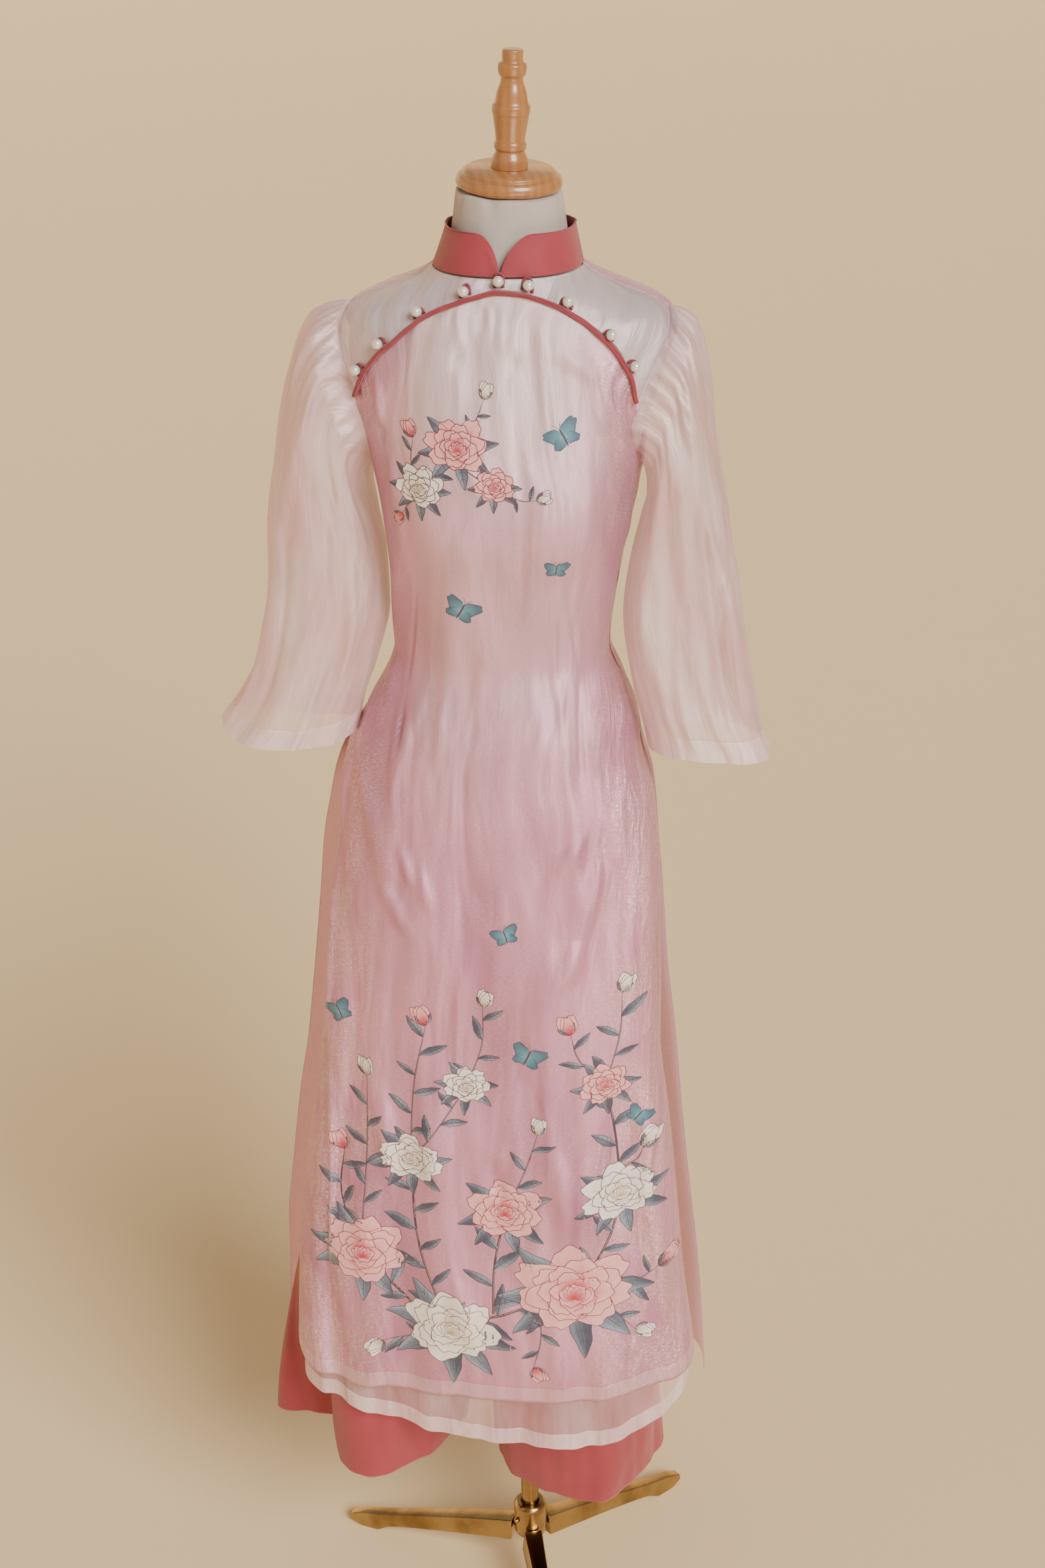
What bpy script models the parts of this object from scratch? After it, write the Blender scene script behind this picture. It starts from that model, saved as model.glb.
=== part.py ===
"""Ao dai with wide trousers, worn on a limbless dress form on a three-legged stand.

Modelled round the upright pole: X to the viewer's right, the front towards -Y, Z up, in metres.
Tables are in millimetres, and the last step moves everything so that the origin lies on the
floor under the middle of the bounding box.
Names say left and right as the wearer has them, so left is +X.
"""
import math
from types import SimpleNamespace

import bmesh
import bpy
import numpy as np
from mathutils import Matrix, Vector

MM = 0.001

# Driving sizes in millimetres. CLOTH is one wall, with its seam allowances taken in.
CLOTH = 1.2
SEAM_GAP = 0.3
POLE_RADIUS = 10.0
PEARL_RADIUS = 5.0
PIPING_RADIUS = 2.3
LOOP_RADIUS = 1.4
COLLAR_HEIGHT = 36.0
FORM_EASE = 6.5
TOUCH_EASE = 0.7
BAND_THICKNESS = 1.6
FORM_COLUMNS = 32
LEAN = math.radians(2.5)
ROUNDNESS = 2 / 2.3

# Body of the tunic, inner face of the cloth: side edges, depths to front and back of the pole axis,
# rise of the back over the front, and where the side edge lies in depth
BODY_COLUMNS = "z left right front back rise side_y"
BODY_ROWS = [
    (1564, -69, 66, 72, 63, -8, 0),
    (1554, -82, 79, 78, 72, -7, 0),
    (1544, -103, 100, 82, 81, -6, 0),
    (1532, -130, 127, 86, 88, -4, 0),
    (1519, -151, 147, 90, 93, -2, 0),
    (1500, -160, 154, 94, 98, 0, 0),
    (1480, -161, 154, 98, 102, 0, 0),
    (1450, -154, 146, 104, 105, 0, 0),
    (1410, -141, 132, 111, 107, 0, 0),
    (1370, -131, 122, 117, 106, 0, 0),
    (1330, -124, 114, 119, 101, 0, 0),
    (1270, -118, 101, 106, 90, 0, 0),
    (1186, -114, 90, 90, 80, 0, 0),
    (1148, -129, 104, 95, 88, 0, 0),
    (1110, -149, 118, 101, 98, 0, 0),
]
FRONT_SKIRT_ROWS = [
    (1083, -160, 121, 103, 0, 0, -8),
    (1030, -172, 134, 108, 0, 0, -22),
    (950, -181, 137, 113, 0, 0, -34),
    (880, -187, 140, 117, 0, 0, -42),
    (800, -195, 143, 120, 0, 0, -48),
    (735, -201, 148, 122, 0, 0, -52),
    (670, -212, 157, 125, 0, 0, -56),
    (560, -231, 168, 129, 0, 0, -62),
    (470, -238, 178, 132, 0, 0, -66),
    (390, -240, 186, 134, 0, 0, -69),
    (340, -241, 189, 134, 0, 0, -70),
    (270, -243, 192, 135, 0, 0, -72),
]
BACK_SKIRT_ROWS = [
    (1083, -167, 122, 0, 105, 0, 4),
    (1030, -187, 134, 0, 115, 0, 10),
    (936, -203, 140, 0, 123, 0, 14),
    (778, -222, 152, 0, 128, 0, 18),
    (630, -246, 166, 0, 138, 0, 22),
    (430, -268, 184, 0, 146, 0, 26),
    (270, -274, 196, 0, 152, 0, 30),
]
WAIST_Z = 1186
ARM_LEVEL_Z = 1410

# Lowest level row of each panel above its curved hem, and the top of the sheer under layer
FRONT_LEVEL_Z = 480
BACK_LEVEL_Z = 420
UNDER_LAYER_TOP_Z = 430
UNDER_LAYER_WIDTH = 0.995

# Dress form above the shoulders and below the waist
NECK_COLUMNS = "z centre half front back rise"
NECK_ROWS = [
    (1628, 0, 48.5, 48.5, 48.5, 0),
    (1612, 0, 50, 50, 50, 0),
    (1594, 0, 52.5, 52.5, 52.5, -2),
    (1578, -1, 56, 60, 55, -6),
]
HIP_COLUMNS = "z centre half front back"
HIP_ROWS = [
    (1149, -16, 106, 84, 80),
    (1117, -17, 117, 88, 86),
    (1083, -19, 126, 92, 93),
    (1036, -21, 134, 96, 101),
    (1000, -22, 138, 97, 104),
    (955, -23, 135, 94, 102),
    (915, -24, 121, 84, 92),
    (885, -25, 95, 66, 72),
    (868, -25, 62, 44, 48),
    (862, -25, 34, 26, 28),
]

# Seam curves on the body: degrees from the front centre, and millimetres down the side.
# The front has slid a little to the right on the form, so its two sides differ.
ARC_COLUMNS = "turn down"
ARC_ROWS = [
    (-64, 174), (-52.5, 150), (-46, 134), (-40, 120), (-34, 108), (-29, 92), (-26, 73), (-21, 53),
    (-11, 31), (0, 19), (10, 22), (17, 31), (24, 48), (28, 70), (32, 94), (37, 109), (42, 124), (46, 139),
    (51, 160), (56, 174),
]
ARMHOLE_COLUMNS = "down left right behind"
ARMHOLE_ROWS = [
    (91, 90, 90, 90), (106, 75, 79, 83), (128, 61, 69, 75), (150, 57, 65, 69), (174, 56, 64, 67),
    (204, 60, 66, 68), (228, 72, 75, 75), (246, 90, 90, 90),
]

# Rounded hems: height at each share of the panel's half width
HEM_COLUMNS = "share front under back"
HEM_ROWS = [
    (-1.0, 402, 358, 352),
    (-0.9, 376, 334, 336),
    (-0.6, 357, 326, 312),
    (-0.3, 358, 312, 298),
    (0.0, 356, 296, 291),
    (0.3, 358, 292, 288),
    (0.6, 370, 320, 286),
    (0.85, 379, 352, 284),
    (1.0, 396, 374, 282),
]

# Soft vertical folds of the panels: place across, heights, width as a share, depth outward
FOLD_COLUMNS = "across top bottom width depth"
FRONT_FOLDS = [
    (-0.80, 1240, 300, 0.07, -4.0),
    (-0.62, 1270, 1000, 0.05, 2.5),
    (0.55, 1280, 1010, 0.05, 2.5),
    (-0.88, 900, 240, 0.06, 5.0),
    (-0.45, 760, 240, 0.12, -5.0),
    (0.30, 820, 240, 0.14, 5.0),
    (0.72, 1000, 240, 0.08, -4.0),
    (0.90, 900, 240, 0.06, 4.0),
]
BACK_FOLDS = [
    (-0.85, 1000, 240, 0.08, 6.0),
    (-0.50, 1060, 240, 0.11, -7.0),
    (-0.15, 1080, 240, 0.12, 7.0),
    (0.25, 1060, 240, 0.12, -6.0),
    (0.60, 1040, 240, 0.11, 7.0),
    (0.88, 900, 240, 0.07, -5.0),
]

# Sleeves as rings from the armhole down: outer and inner edge, depth, and the middle's place in depth
SLEEVE_COLUMNS = "down outer outer_z inner inner_z half_depth mid_y"
SLEEVE_LEFT_ROWS = [
    (0, 150, 1520, 125, 1364, 60, 0),
    (30, 168, 1505, 128, 1358, 63, -1),
    (70, 181, 1462, 128, 1343, 64, -3),
    (130, 190, 1398, 122, 1318, 60, -6),
    (210, 203, 1318, 112, 1275, 56, -8),
    (290, 216, 1240, 106, 1222, 52, -9),
    (370, 229, 1150, 116, 1150, 48, -10),
    (415, 241, 1106, 126, 1110, 46, -12),
    (440, 252, 1082, 131, 1086, 45, -12),
]
SLEEVE_RIGHT_ROWS = [
    (0, -156, 1522, -134, 1364, 60, 0),
    (30, -182, 1507, -137, 1358, 63, -1),
    (70, -204, 1462, -137, 1343, 64, -3),
    (130, -222, 1395, -132, 1318, 60, -6),
    (210, -236, 1307, -125, 1275, 56, -8),
    (290, -244, 1230, -123, 1222, 52, -10),
    (350, -255, 1168, -137, 1165, 48, -12),
    (390, -272, 1132, -150, 1128, 46, -13),
    (425, -297, 1099, -158, 1093, 45, -14),
]
SLEEVE_HEM_DROP = {1: 0.0, -1: 12.0}
GATHER_COUNT = 12
GATHER_DEPTH = 2.5

# Trousers: hips in common, then each leg's ring blends into the outline of its hem
HIP_LEG_COLUMNS = "z left right centre front back"
HIP_LEG_ROWS = [
    (1149, -122.8, 90.8, -16, 84.8, 80.8),
    (1117, -138, 104, -17, 92, 90),
    (1083, -149, 111, -19, 95, 96),
    (1036, -159, 117, -21, 99, 104),
    (1000, -164, 120, -24, 100, 107),
    (960, -166, 121, -28, 99, 108),
    (900, -171, 124, -36, 99, 108),
    (860, -176, 126, -42, 99, 107),
    (800, -186, 129, -50, 100, 105),
    (600, -222, 138, -50, 102, 98),
    (450, -238, 141, -50, 106, 94),
    (339, -252, 143, -50, 110, 92),
    (190, -285, 148, -50, 110, 90),
]
CROTCH_TOP_Z = 856
CROTCH_Z = 796
NECK_TOP_Z = 1628
FORM_BOTTOM_Z = 862
BAND_LOW_Z = 1149.6
BAND_HIGH_Z = 1178.0
HEM_OUTLINE_COLUMNS = "x y"
RIGHT_HEM_OUTLINE = [
    (-72, 12), (-82, 56), (-130, 82), (-200, 84), (-262, 60), (-291, 16), (-285, -3), (-250, -5),
    (-220, -6), (-211, -28), (-206, -56), (-194, -94), (-176, -107), (-148, -106), (-122, -80),
    (-104, -54), (-86, -32), (-76, -12),
]
LEFT_HEM_OUTLINE = [
    (-38, 30), (-38, 4), (-30, -24), (-2, -60), (33, -83), (71, -91), (107, -75), (132, -41),
    (146, 2), (149, 48), (120, 76), (62, 88), (6, 80), (-26, 56),
]
RIGHT_HEM_Z = 214
LEFT_HEM_Z = 184

# Pearls and loops: place along the arc in degrees, and how far the loop reaches up from the piping
BUTTON_COLUMNS = "turn reach"
BUTTON_ROWS = [
    (-49, 12.5), (-38, 12.5), (-27, 12.5), (-14, 13.5), (0, 15.4),
    (13, 13.5), (26, 13.0), (35, 13.0), (44, 12.5),
]

# Turned parts: radius and height, top to bottom
TURNED_COLUMNS = "radius z"
FINIAL_ROWS = [
    (8.6, 1751), (9.6, 1749.5), (9.6, 1741), (12.6, 1738.5), (13, 1734), (12.2, 1729.5), (10.4, 1727),
    (10.4, 1723), (13.4, 1714), (15.1, 1705), (17.2, 1702), (17.2, 1696), (16.3, 1692.5), (13.3, 1672),
    (14.5, 1669), (14.5, 1664), (13, 1661.5), (16, 1655), (16.8, 1646.6),
]
NECK_CAP_ROWS = [
    (39, 1646.2), (42.5, 1644), (43, 1641.5), (46.5, 1640), (48.6, 1635), (47.4, 1630.5), (44, 1628.3),
]
HUB_ROWS = [
    (10.3, 100), (15.5, 100), (18.8, 96.5), (19, 92), (19, 60), (17.5, 56), (0, 56),
]
HUB_RADIUS = 19
HUB_BORE_FLOOR_Z = 70
SCREW_HEAD = 3.0

# Stand legs in side view: distance from the pole, under and upper height, width
STAND_LEG_COLUMNS = "out under upper width"
STAND_LEG_ROWS = [
    (19.4, 44, 70, 26), (60, 36, 60, 23), (120, 24, 44, 20), (180, 9, 27, 17), (196, 0, 23, 16),
    (214, 0, 19, 15), (230, 6, 13, 13),
]
STAND_LEG_TURNS = (45, 165, 285)

MATERIALS = {
    "satin": ((0.60, 0.30, 0.34), 0.35, 0.15),
    "organza": ((0.80, 0.60, 0.57), 0.45, 0.0),
    "coral": ((0.56, 0.13, 0.15), 0.6, 0.0),
    "pearl": ((0.85, 0.81, 0.74), 0.15, 0.0),
    "form cloth": ((0.55, 0.50, 0.45), 0.85, 0.0),
    "wood": ((0.55, 0.32, 0.14), 0.35, 0.0),
    "brass": ((0.72, 0.50, 0.22), 0.22, 1.0),
}


class Profile:
    """Smooth curves without overshoot through a table, read anywhere along its key column."""

    def __init__(self, columns, rows, key=None):
        self.columns = columns.split()
        key_index = self.columns.index(key) if key else 0
        ordered = sorted(rows, key=lambda row: row[key_index])
        self.values = np.array(ordered, dtype=float)
        self.keys = self.values[:, key_index]
        steps = np.diff(self.keys)[:, None]
        rates = np.diff(self.values, axis=0) / steps
        before, after = rates[:-1], rates[1:]
        same_way = before * after > 0
        mean = np.where(same_way, 2 * before * after / np.where(same_way, before + after, 1), 0)
        self.slopes = np.vstack([rates[:1], mean, rates[-1:]])

    def at(self, key):
        """All columns at one key, as attributes."""
        key = min(max(key, self.keys[0]), self.keys[-1])
        i = int(min(np.searchsorted(self.keys, key, side="right") - 1, len(self.keys) - 2))
        step = self.keys[i + 1] - self.keys[i]
        t = (key - self.keys[i]) / step
        values = ((2 * t**3 - 3 * t**2 + 1) * self.values[i] + (t**3 - 2 * t**2 + t) * step * self.slopes[i]
                  + (3 * t**2 - 2 * t**3) * self.values[i + 1] + (t**3 - t**2) * step * self.slopes[i + 1])
        return SimpleNamespace(**dict(zip(self.columns, values)))


def with_down(rows):
    """Put each row's distance down the body's side, from the neck seam, in front of it."""
    result = []
    down = 0.0
    for i, row in enumerate(rows):
        if i:
            last = rows[i - 1]
            half_change = ((row[2] - row[1]) - (last[2] - last[1])) / 2
            down += math.hypot(half_change, row[0] - last[0])
        result.append((down, *row))
    return result


def smooth_step(low, high, value):
    """0 below low, 1 above high, and an even S between them."""
    t = min(max((value - low) / (high - low), 0.0), 1.0)
    return t * t * (3 - 2 * t)


def mix(a, b, share):
    return a + (b - a) * share


def power(value, exponent):
    """Power that keeps the sign."""
    return math.copysign(abs(value) ** exponent, value)


BODY_SHAPE = "down " + BODY_COLUMNS
FRONT = Profile(BODY_SHAPE, with_down(BODY_ROWS + FRONT_SKIRT_ROWS))
BACK = Profile(BODY_SHAPE, with_down(BODY_ROWS + BACK_SKIRT_ROWS))
NECK = Profile(NECK_COLUMNS, NECK_ROWS)
HIPS = Profile(HIP_COLUMNS, HIP_ROWS)
ARC = Profile(ARC_COLUMNS, ARC_ROWS)
ARMHOLE = Profile(ARMHOLE_COLUMNS, ARMHOLE_ROWS)
HEMS = Profile(HEM_COLUMNS, HEM_ROWS)
HIP_LEG = Profile(HIP_LEG_COLUMNS, HIP_LEG_ROWS)


def down_at(profile, z):
    """Distance down the side at which a profile reaches the height z."""
    return float(np.interp(-z, -profile.values[:, 1], profile.keys))


WAIST_DOWN = down_at(FRONT, WAIST_Z)
ARM_LEVEL_DOWN = down_at(FRONT, ARM_LEVEL_Z)
SHOULDER_TIP_DOWN = ARMHOLE.keys[0]
UNDERARM_DOWN = ARMHOLE.keys[-1]


def ring_point(section, turn):
    """Point of a rounded section, at a turn in degrees from the front centre towards +X."""
    middle = (section.left + section.right) / 2
    half = (section.right - section.left) / 2
    side = math.sin(math.radians(turn))
    ahead = math.cos(math.radians(turn))
    x = middle + half * power(side, ROUNDNESS)
    share = abs(ahead) ** ROUNDNESS
    reach = -section.front if ahead > 0 else section.back
    y = mix(section.side_y, reach, share)
    z = section.z + section.rise * (1 - ahead) / 2
    return Vector((x, y, z))


def bust_swell(turn, z):
    """Height in mm of the two soft bust mounds over the plain section."""
    across = (abs(turn) - 30) / 17
    along = (z - 1352) / 52
    return 7.0 * math.exp(-across * across - along * along)


def fold_height(folds, across, z):
    """Sum of the panel's soft folds at one place."""
    height = 0.0
    for place, top, bottom, width, depth in folds:
        along = smooth_step(top, mix(top, bottom, 0.6), z) if top > z else 0.0
        height += depth * along * math.exp(-((across - place) / width) ** 2)
    return height


def front_point(turn, down):
    """Inner face of the front panel and the yoke."""
    section = FRONT.at(down)
    point = ring_point(section, turn)
    across = power(math.sin(math.radians(turn)), ROUNDNESS)
    point.y -= bust_swell(turn, section.z) + fold_height(FRONT_FOLDS, across, section.z)
    point.y -= SEAM_GAP / 2
    return point


def back_point(turn, down):
    """Inner face of the back panel, the turn running from 90 over 180 to 270."""
    section = BACK.at(down)
    point = ring_point(section, turn)
    across = power(math.sin(math.radians(turn)), ROUNDNESS)
    point.y += fold_height(BACK_FOLDS, across, section.z) + SEAM_GAP / 2
    return point


def outward(point_function, a, b, step=0.4):
    """Unit normal of a surface, away from the body."""
    side = point_function(a + step, b) - point_function(a - step, b)
    up = point_function(a, b - step) - point_function(a, b + step)
    return side.cross(up).normalized()


def arc_point(turn, beyond, lift=0.0):
    """Place at the arc, moved beyond it towards the neck and lifted off the surface, in mm.

    Also the directions along the arc, towards the neck and away from the body.
    """
    arc_down = ARC.at(turn).down
    here = front_point(turn, arc_down)
    step = 1.0
    along = (front_point(turn + step, ARC.at(turn + step).down)
             - front_point(turn - step, ARC.at(turn - step).down)).normalized()
    normal = outward(front_point, turn, arc_down)
    towards_neck = normal.cross(along).normalized()
    return here + towards_neck * beyond + normal * lift, along, towards_neck, normal


def yoke_point(turn, sideways, beyond, lift):
    """Place on the yoke, measured in mm along and above the arc from one turn, lifted off its face.

    Past the neck seam it goes straight up.
    """
    arc_down = ARC.at(turn).down
    here, along, towards_neck, _ = arc_point(turn, 0.0)
    step = 0.5
    per_turn = (front_point(turn + step, arc_down) - front_point(turn - step, arc_down)) / (2 * step)
    per_down = (front_point(turn, arc_down + step) - front_point(turn, arc_down - step)) / (2 * step)
    wanted = along * sideways + towards_neck * beyond
    moves = np.linalg.lstsq(np.array([per_turn, per_down]).T, np.array(wanted), rcond=None)[0]
    room = arc_down - 1.0
    share = min(1.0, room / max(-float(moves[1]), room))
    place = (turn + float(moves[0]) * share, arc_down + float(moves[1]) * share)
    past_seam = (along * sideways + Vector((0, 0, beyond))) * (1 - share)
    return front_point(*place) + outward(front_point, *place) * lift + past_seam


def material(name):
    """Principled material with the colour, roughness and metallic value of the table."""
    found = bpy.data.materials.get(name)
    if found:
        return found
    colour, roughness, metallic = MATERIALS[name]
    made = bpy.data.materials.new(name)
    made.use_nodes = True
    shader = made.node_tree.nodes["Principled BSDF"]
    shader.inputs["Base Color"].default_value = (*colour, 1)
    shader.inputs["Roughness"].default_value = roughness
    shader.inputs["Metallic"].default_value = metallic
    made.diffuse_color = (*colour, 1)
    return made


def add_mesh_object(name, bm, material_name):
    """Turn a bmesh into a smooth shaded object of the scene."""
    mesh = bpy.data.meshes.new(name)
    bm.to_mesh(mesh)
    bm.free()
    made = bpy.data.objects.new(name, mesh)
    bpy.context.scene.collection.objects.link(made)
    mesh.materials.append(material(material_name))
    mesh.shade_smooth()
    mesh.set_sharp_from_angle(angle=math.radians(40))
    return made


def cloth(name, material_name, point, columns, rows, closed=False, thickness=CLOTH):
    """Wall of cloth: point(across, up) gives its inner face in mm, both from 0 to 1.

    Across runs anticlockwise seen from above and up runs upwards, so the wall grows outwards.
    """
    bm = bmesh.new()
    bmesh.ops.create_grid(bm, x_segments=columns, y_segments=rows, size=1)
    for vertex in bm.verts:
        vertex.co = point((vertex.co.x + 1) / 2, (vertex.co.y + 1) / 2) * MM
    if closed:
        bmesh.ops.remove_doubles(bm, verts=bm.verts, dist=0.01 * MM)
    made = add_mesh_object(name, bm, material_name)
    wall = made.modifiers.new("wall", "SOLIDIFY")
    wall.thickness = thickness * MM
    wall.offset = 1
    return made


def solid_of_rings(name, material_name, rings):
    """Closed solid through rings of points in mm, from the top ring down, with flat ends."""
    bm = bmesh.new()
    loops = [[bm.verts.new(point * MM) for point in ring] for ring in rings]
    count = len(loops[0])
    for upper, lower in zip(loops, loops[1:]):
        for i in range(count):
            j = (i + 1) % count
            bm.faces.new((upper[i], lower[i], lower[j], upper[j]))
    bm.faces.new(loops[0])
    bm.faces.new(reversed(loops[-1]))
    bmesh.ops.recalc_face_normals(bm, faces=bm.faces)
    return add_mesh_object(name, bm, material_name)


def lathe(name, material_name, rows, segments):
    """Solid turned about the Z axis from a profile of radius and height, top to bottom."""
    bm = bmesh.new()
    outline = [(0, rows[0][1])] + list(rows) + [(0, rows[-1][1])]
    profile = [bm.verts.new((radius * MM, 0, z * MM)) for radius, z in outline]
    edges = [bm.edges.new(pair) for pair in zip(profile, profile[1:])]
    bmesh.ops.spin(bm, geom=profile + edges, cent=(0, 0, 0), axis=(0, 0, 1),
                   angle=2 * math.pi, steps=segments, use_duplicate=False)
    bmesh.ops.remove_doubles(bm, verts=bm.verts, dist=0.01 * MM)
    bmesh.ops.recalc_face_normals(bm, faces=bm.faces)
    return add_mesh_object(name, bm, material_name)


def cord(name, material_name, points, radius, resolution):
    """Round cord with filled ends along points in mm."""
    curve = bpy.data.curves.new(name, "CURVE")
    curve.dimensions = "3D"
    curve.bevel_depth = radius * MM
    curve.bevel_resolution = resolution
    curve.use_fill_caps = True
    spline = curve.splines.new("POLY")
    spline.points.add(len(points) - 1)
    for target, point in zip(spline.points, points):
        target.co = (*(point * MM), 1)
    made = bpy.data.objects.new(name, curve)
    bpy.context.scene.collection.objects.link(made)
    curve.materials.append(material(material_name))
    return made


def front_edge(down, side):
    """Degrees from the front centre to the front's edge: the armhole, or the side seam."""
    if SHOULDER_TIP_DOWN < down < UNDERARM_DOWN:
        armhole = ARMHOLE.at(down)
        return armhole.left if side > 0 else armhole.right
    return 90.0


def back_edge(down):
    """Degrees from the back centre to the back panel's edge."""
    return ARMHOLE.at(down).behind if SHOULDER_TIP_DOWN < down < UNDERARM_DOWN else 90.0


def rows_between(*stations):
    """Share marks that spread rows over stretches: each station is (value, steps to it)."""
    marks = [stations[0][0]]
    for (start, _), (end, steps) in zip(stations, stations[1:]):
        marks += [mix(start, end, (i + 1) / steps) for i in range(steps)]
    return marks


def read_marks(marks, share):
    """Value at a share of a list of evenly numbered marks."""
    place = share * (len(marks) - 1)
    return float(np.interp(place, range(len(marks)), marks))


def hem_down(profile, column, across):
    """Distance down the side at the hem's height, for a place across the panel from -1 to 1."""
    return down_at(profile, getattr(HEMS.at(across), column))


def build_front_panel():
    """Front panel from the yoke arc to its rounded hem."""
    last_level = down_at(FRONT, FRONT_LEVEL_Z)
    marks = rows_between((last_level, 0), (WAIST_DOWN, 9), (UNDERARM_DOWN, 4), (ARM_LEVEL_DOWN, 3))
    hem_rows, top_rows = 2, 4
    rows = hem_rows + len(marks) - 1 + top_rows

    def point(across, up):
        row = up * rows
        side = 2 * across - 1
        if row < hem_rows:
            down = mix(hem_down(FRONT, "front", side), last_level, row / hem_rows)
            return front_point(90 * side, down)
        if row <= hem_rows + len(marks) - 1:
            down = float(np.interp(row - hem_rows, range(len(marks)), marks))
            return front_point(mix(-front_edge(down, -1), front_edge(down, 1), across), down)
        share = (row - hem_rows - len(marks) + 1) / top_rows
        arc_turn = mix(ARC.keys[0], ARC.keys[-1], across)
        if share == 1:
            return arc_point(arc_turn, -SEAM_GAP)[0]
        edge_down = mix(ARM_LEVEL_DOWN, ARC.values[-1][1], share)
        level_turn = mix(-front_edge(edge_down, -1), front_edge(edge_down, 1), across)
        turn = mix(level_turn, arc_turn, share)
        return front_point(turn, mix(ARM_LEVEL_DOWN, ARC.at(arc_turn).down, share))

    return cloth("front_panel", "satin", point, 20, rows)


def build_under_layer():
    """Sheer layer behind the front panel, from above the panel's hem to its own."""
    top = down_at(FRONT, UNDER_LAYER_TOP_Z)
    behind = CLOTH + SEAM_GAP + 0.5

    def point(across, up):
        side = 2 * across - 1
        down = mix(hem_down(FRONT, "under", side), top, up)
        turn = 90 * side * UNDER_LAYER_WIDTH
        inward = outward(front_point, turn, min(down, FRONT.keys[-1] - 1)) * -behind
        return front_point(turn, down) + inward

    return cloth("under_layer", "organza", point, 20, 5)


def build_back_panel():
    """Back panel from the neck and shoulder seams to the hem."""
    last_level = down_at(BACK, BACK_LEVEL_Z)
    marks = rows_between((last_level, 0), (WAIST_DOWN, 9), (UNDERARM_DOWN, 5), (SHOULDER_TIP_DOWN, 6), (0, 4))
    hem_rows = 1
    rows = hem_rows + len(marks) - 1

    def point(across, up):
        row = up * rows
        side = 1 - 2 * across
        if row < hem_rows:
            down = mix(hem_down(BACK, "back", side), last_level, row / hem_rows)
        else:
            down = float(np.interp(row - hem_rows, range(len(marks)), marks))
        return back_point(180 - back_edge(down) * side, down)

    return cloth("back_panel", "satin", point, 16, rows)


def build_yoke():
    """Sheer crescent from the collar and shoulder seams to the arc."""
    collar_share = 0.56

    def top_edge(side):
        reach = abs(side)
        if reach < collar_share:
            return 90 * reach / collar_share, 1.0
        return 90.0, mix(1.0, SHOULDER_TIP_DOWN, (reach - collar_share) / (1 - collar_share))

    def point(across, up):
        side = 2 * across - 1
        arc_turn = mix(ARC.keys[0], ARC.keys[-1], across)
        if up == 0:
            return arc_point(arc_turn, SEAM_GAP)[0]
        top_turn, top_down = top_edge(side)
        turn = mix(arc_turn, math.copysign(top_turn, side), up)
        down = mix(ARC.at(arc_turn).down, top_down, up)
        arc_end = abs(ARC.keys[-1] if side > 0 else ARC.keys[0])
        bow = front_edge(down, side) - mix(arc_end, 90.0, up)
        return front_point(turn + math.copysign(bow * abs(side) ** 5, side), down)

    return cloth("yoke_front", "organza", point, 20, 5)


def armhole_point(side, along, in_front):
    """Armhole seam just off the body's outer face: 0 at the shoulder tip, 1 under the arm."""
    lift = CLOTH + SEAM_GAP + 1.4
    down = mix(SHOULDER_TIP_DOWN, UNDERARM_DOWN, along)
    if in_front:
        seam = front_point(side * front_edge(down, side), down)
    else:
        seam = back_point(180 - side * back_edge(down), down)
    away = Vector((seam.x - (FRONT.at(down).left + FRONT.at(down).right) / 2, seam.y * 0.4, 0)).normalized()
    rise = Vector((0, 0, 1)) * smooth_step(0.35, 0.0, along)
    return seam + (away + rise * 1.5) * lift


def build_sleeve(name, side, rows_table):
    """Bell sleeve with a gathered cap, from its hem up to the armhole."""
    profile = Profile(SLEEVE_COLUMNS, rows_table)
    length = profile.keys[-1]
    columns, rows = 32, 12

    def cap_angle(across):
        """Anticlockwise angle from +X, with more columns round the outer half."""
        plain = 2 * math.pi * across
        outer_centre = 0 if side > 0 else math.pi
        return plain - 0.42 * math.sin(plain - outer_centre)

    def point(across, up):
        angle = cap_angle(across)
        down = length * (1 - up) ** 1.15
        ring = profile.at(down)
        outer = Vector((ring.outer, ring.mid_y, ring.outer_z))
        inner = Vector((ring.inner, ring.mid_y, ring.inner_z))
        low, high = (inner, outer) if side > 0 else (outer, inner)
        middle = (low + high) / 2
        across_arm = (high - low) / 2
        cos, sin = math.cos(angle), math.sin(angle)
        place = middle + across_arm * power(cos, ROUNDNESS)
        place.y += ring.half_depth * power(sin, ROUNDNESS)
        outside = smooth_step(-0.1, 0.8, cos * side)
        gathers = GATHER_DEPTH * (1 + math.cos(GATHER_COUNT * (angle if side > 0 else angle - math.pi)))
        gathers *= outside * smooth_step(0, 22, down) * smooth_step(150, 40, down)
        long_folds = 4.0 * math.sin(3 * angle + 1.2 * side + down / 170) * smooth_step(90, 260, down)
        radial = Vector((cos * across_arm.x, sin * ring.half_depth, cos * across_arm.z)).normalized()
        inner_calm = 1 - 0.9 * smooth_step(0.1, 0.7, -cos * side)
        place += radial * (gathers + long_folds) * inner_calm
        place.z -= SLEEVE_HEM_DROP[side] * sin * sin * smooth_step(length - 130, length, down)
        seam = armhole_point(side, (1 - power(cos * side, ROUNDNESS)) / 2, sin <= 0)
        return seam.lerp(place, smooth_step(0, 34, down))

    return cloth(name, "organza", point, columns, rows, closed=True)


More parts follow.
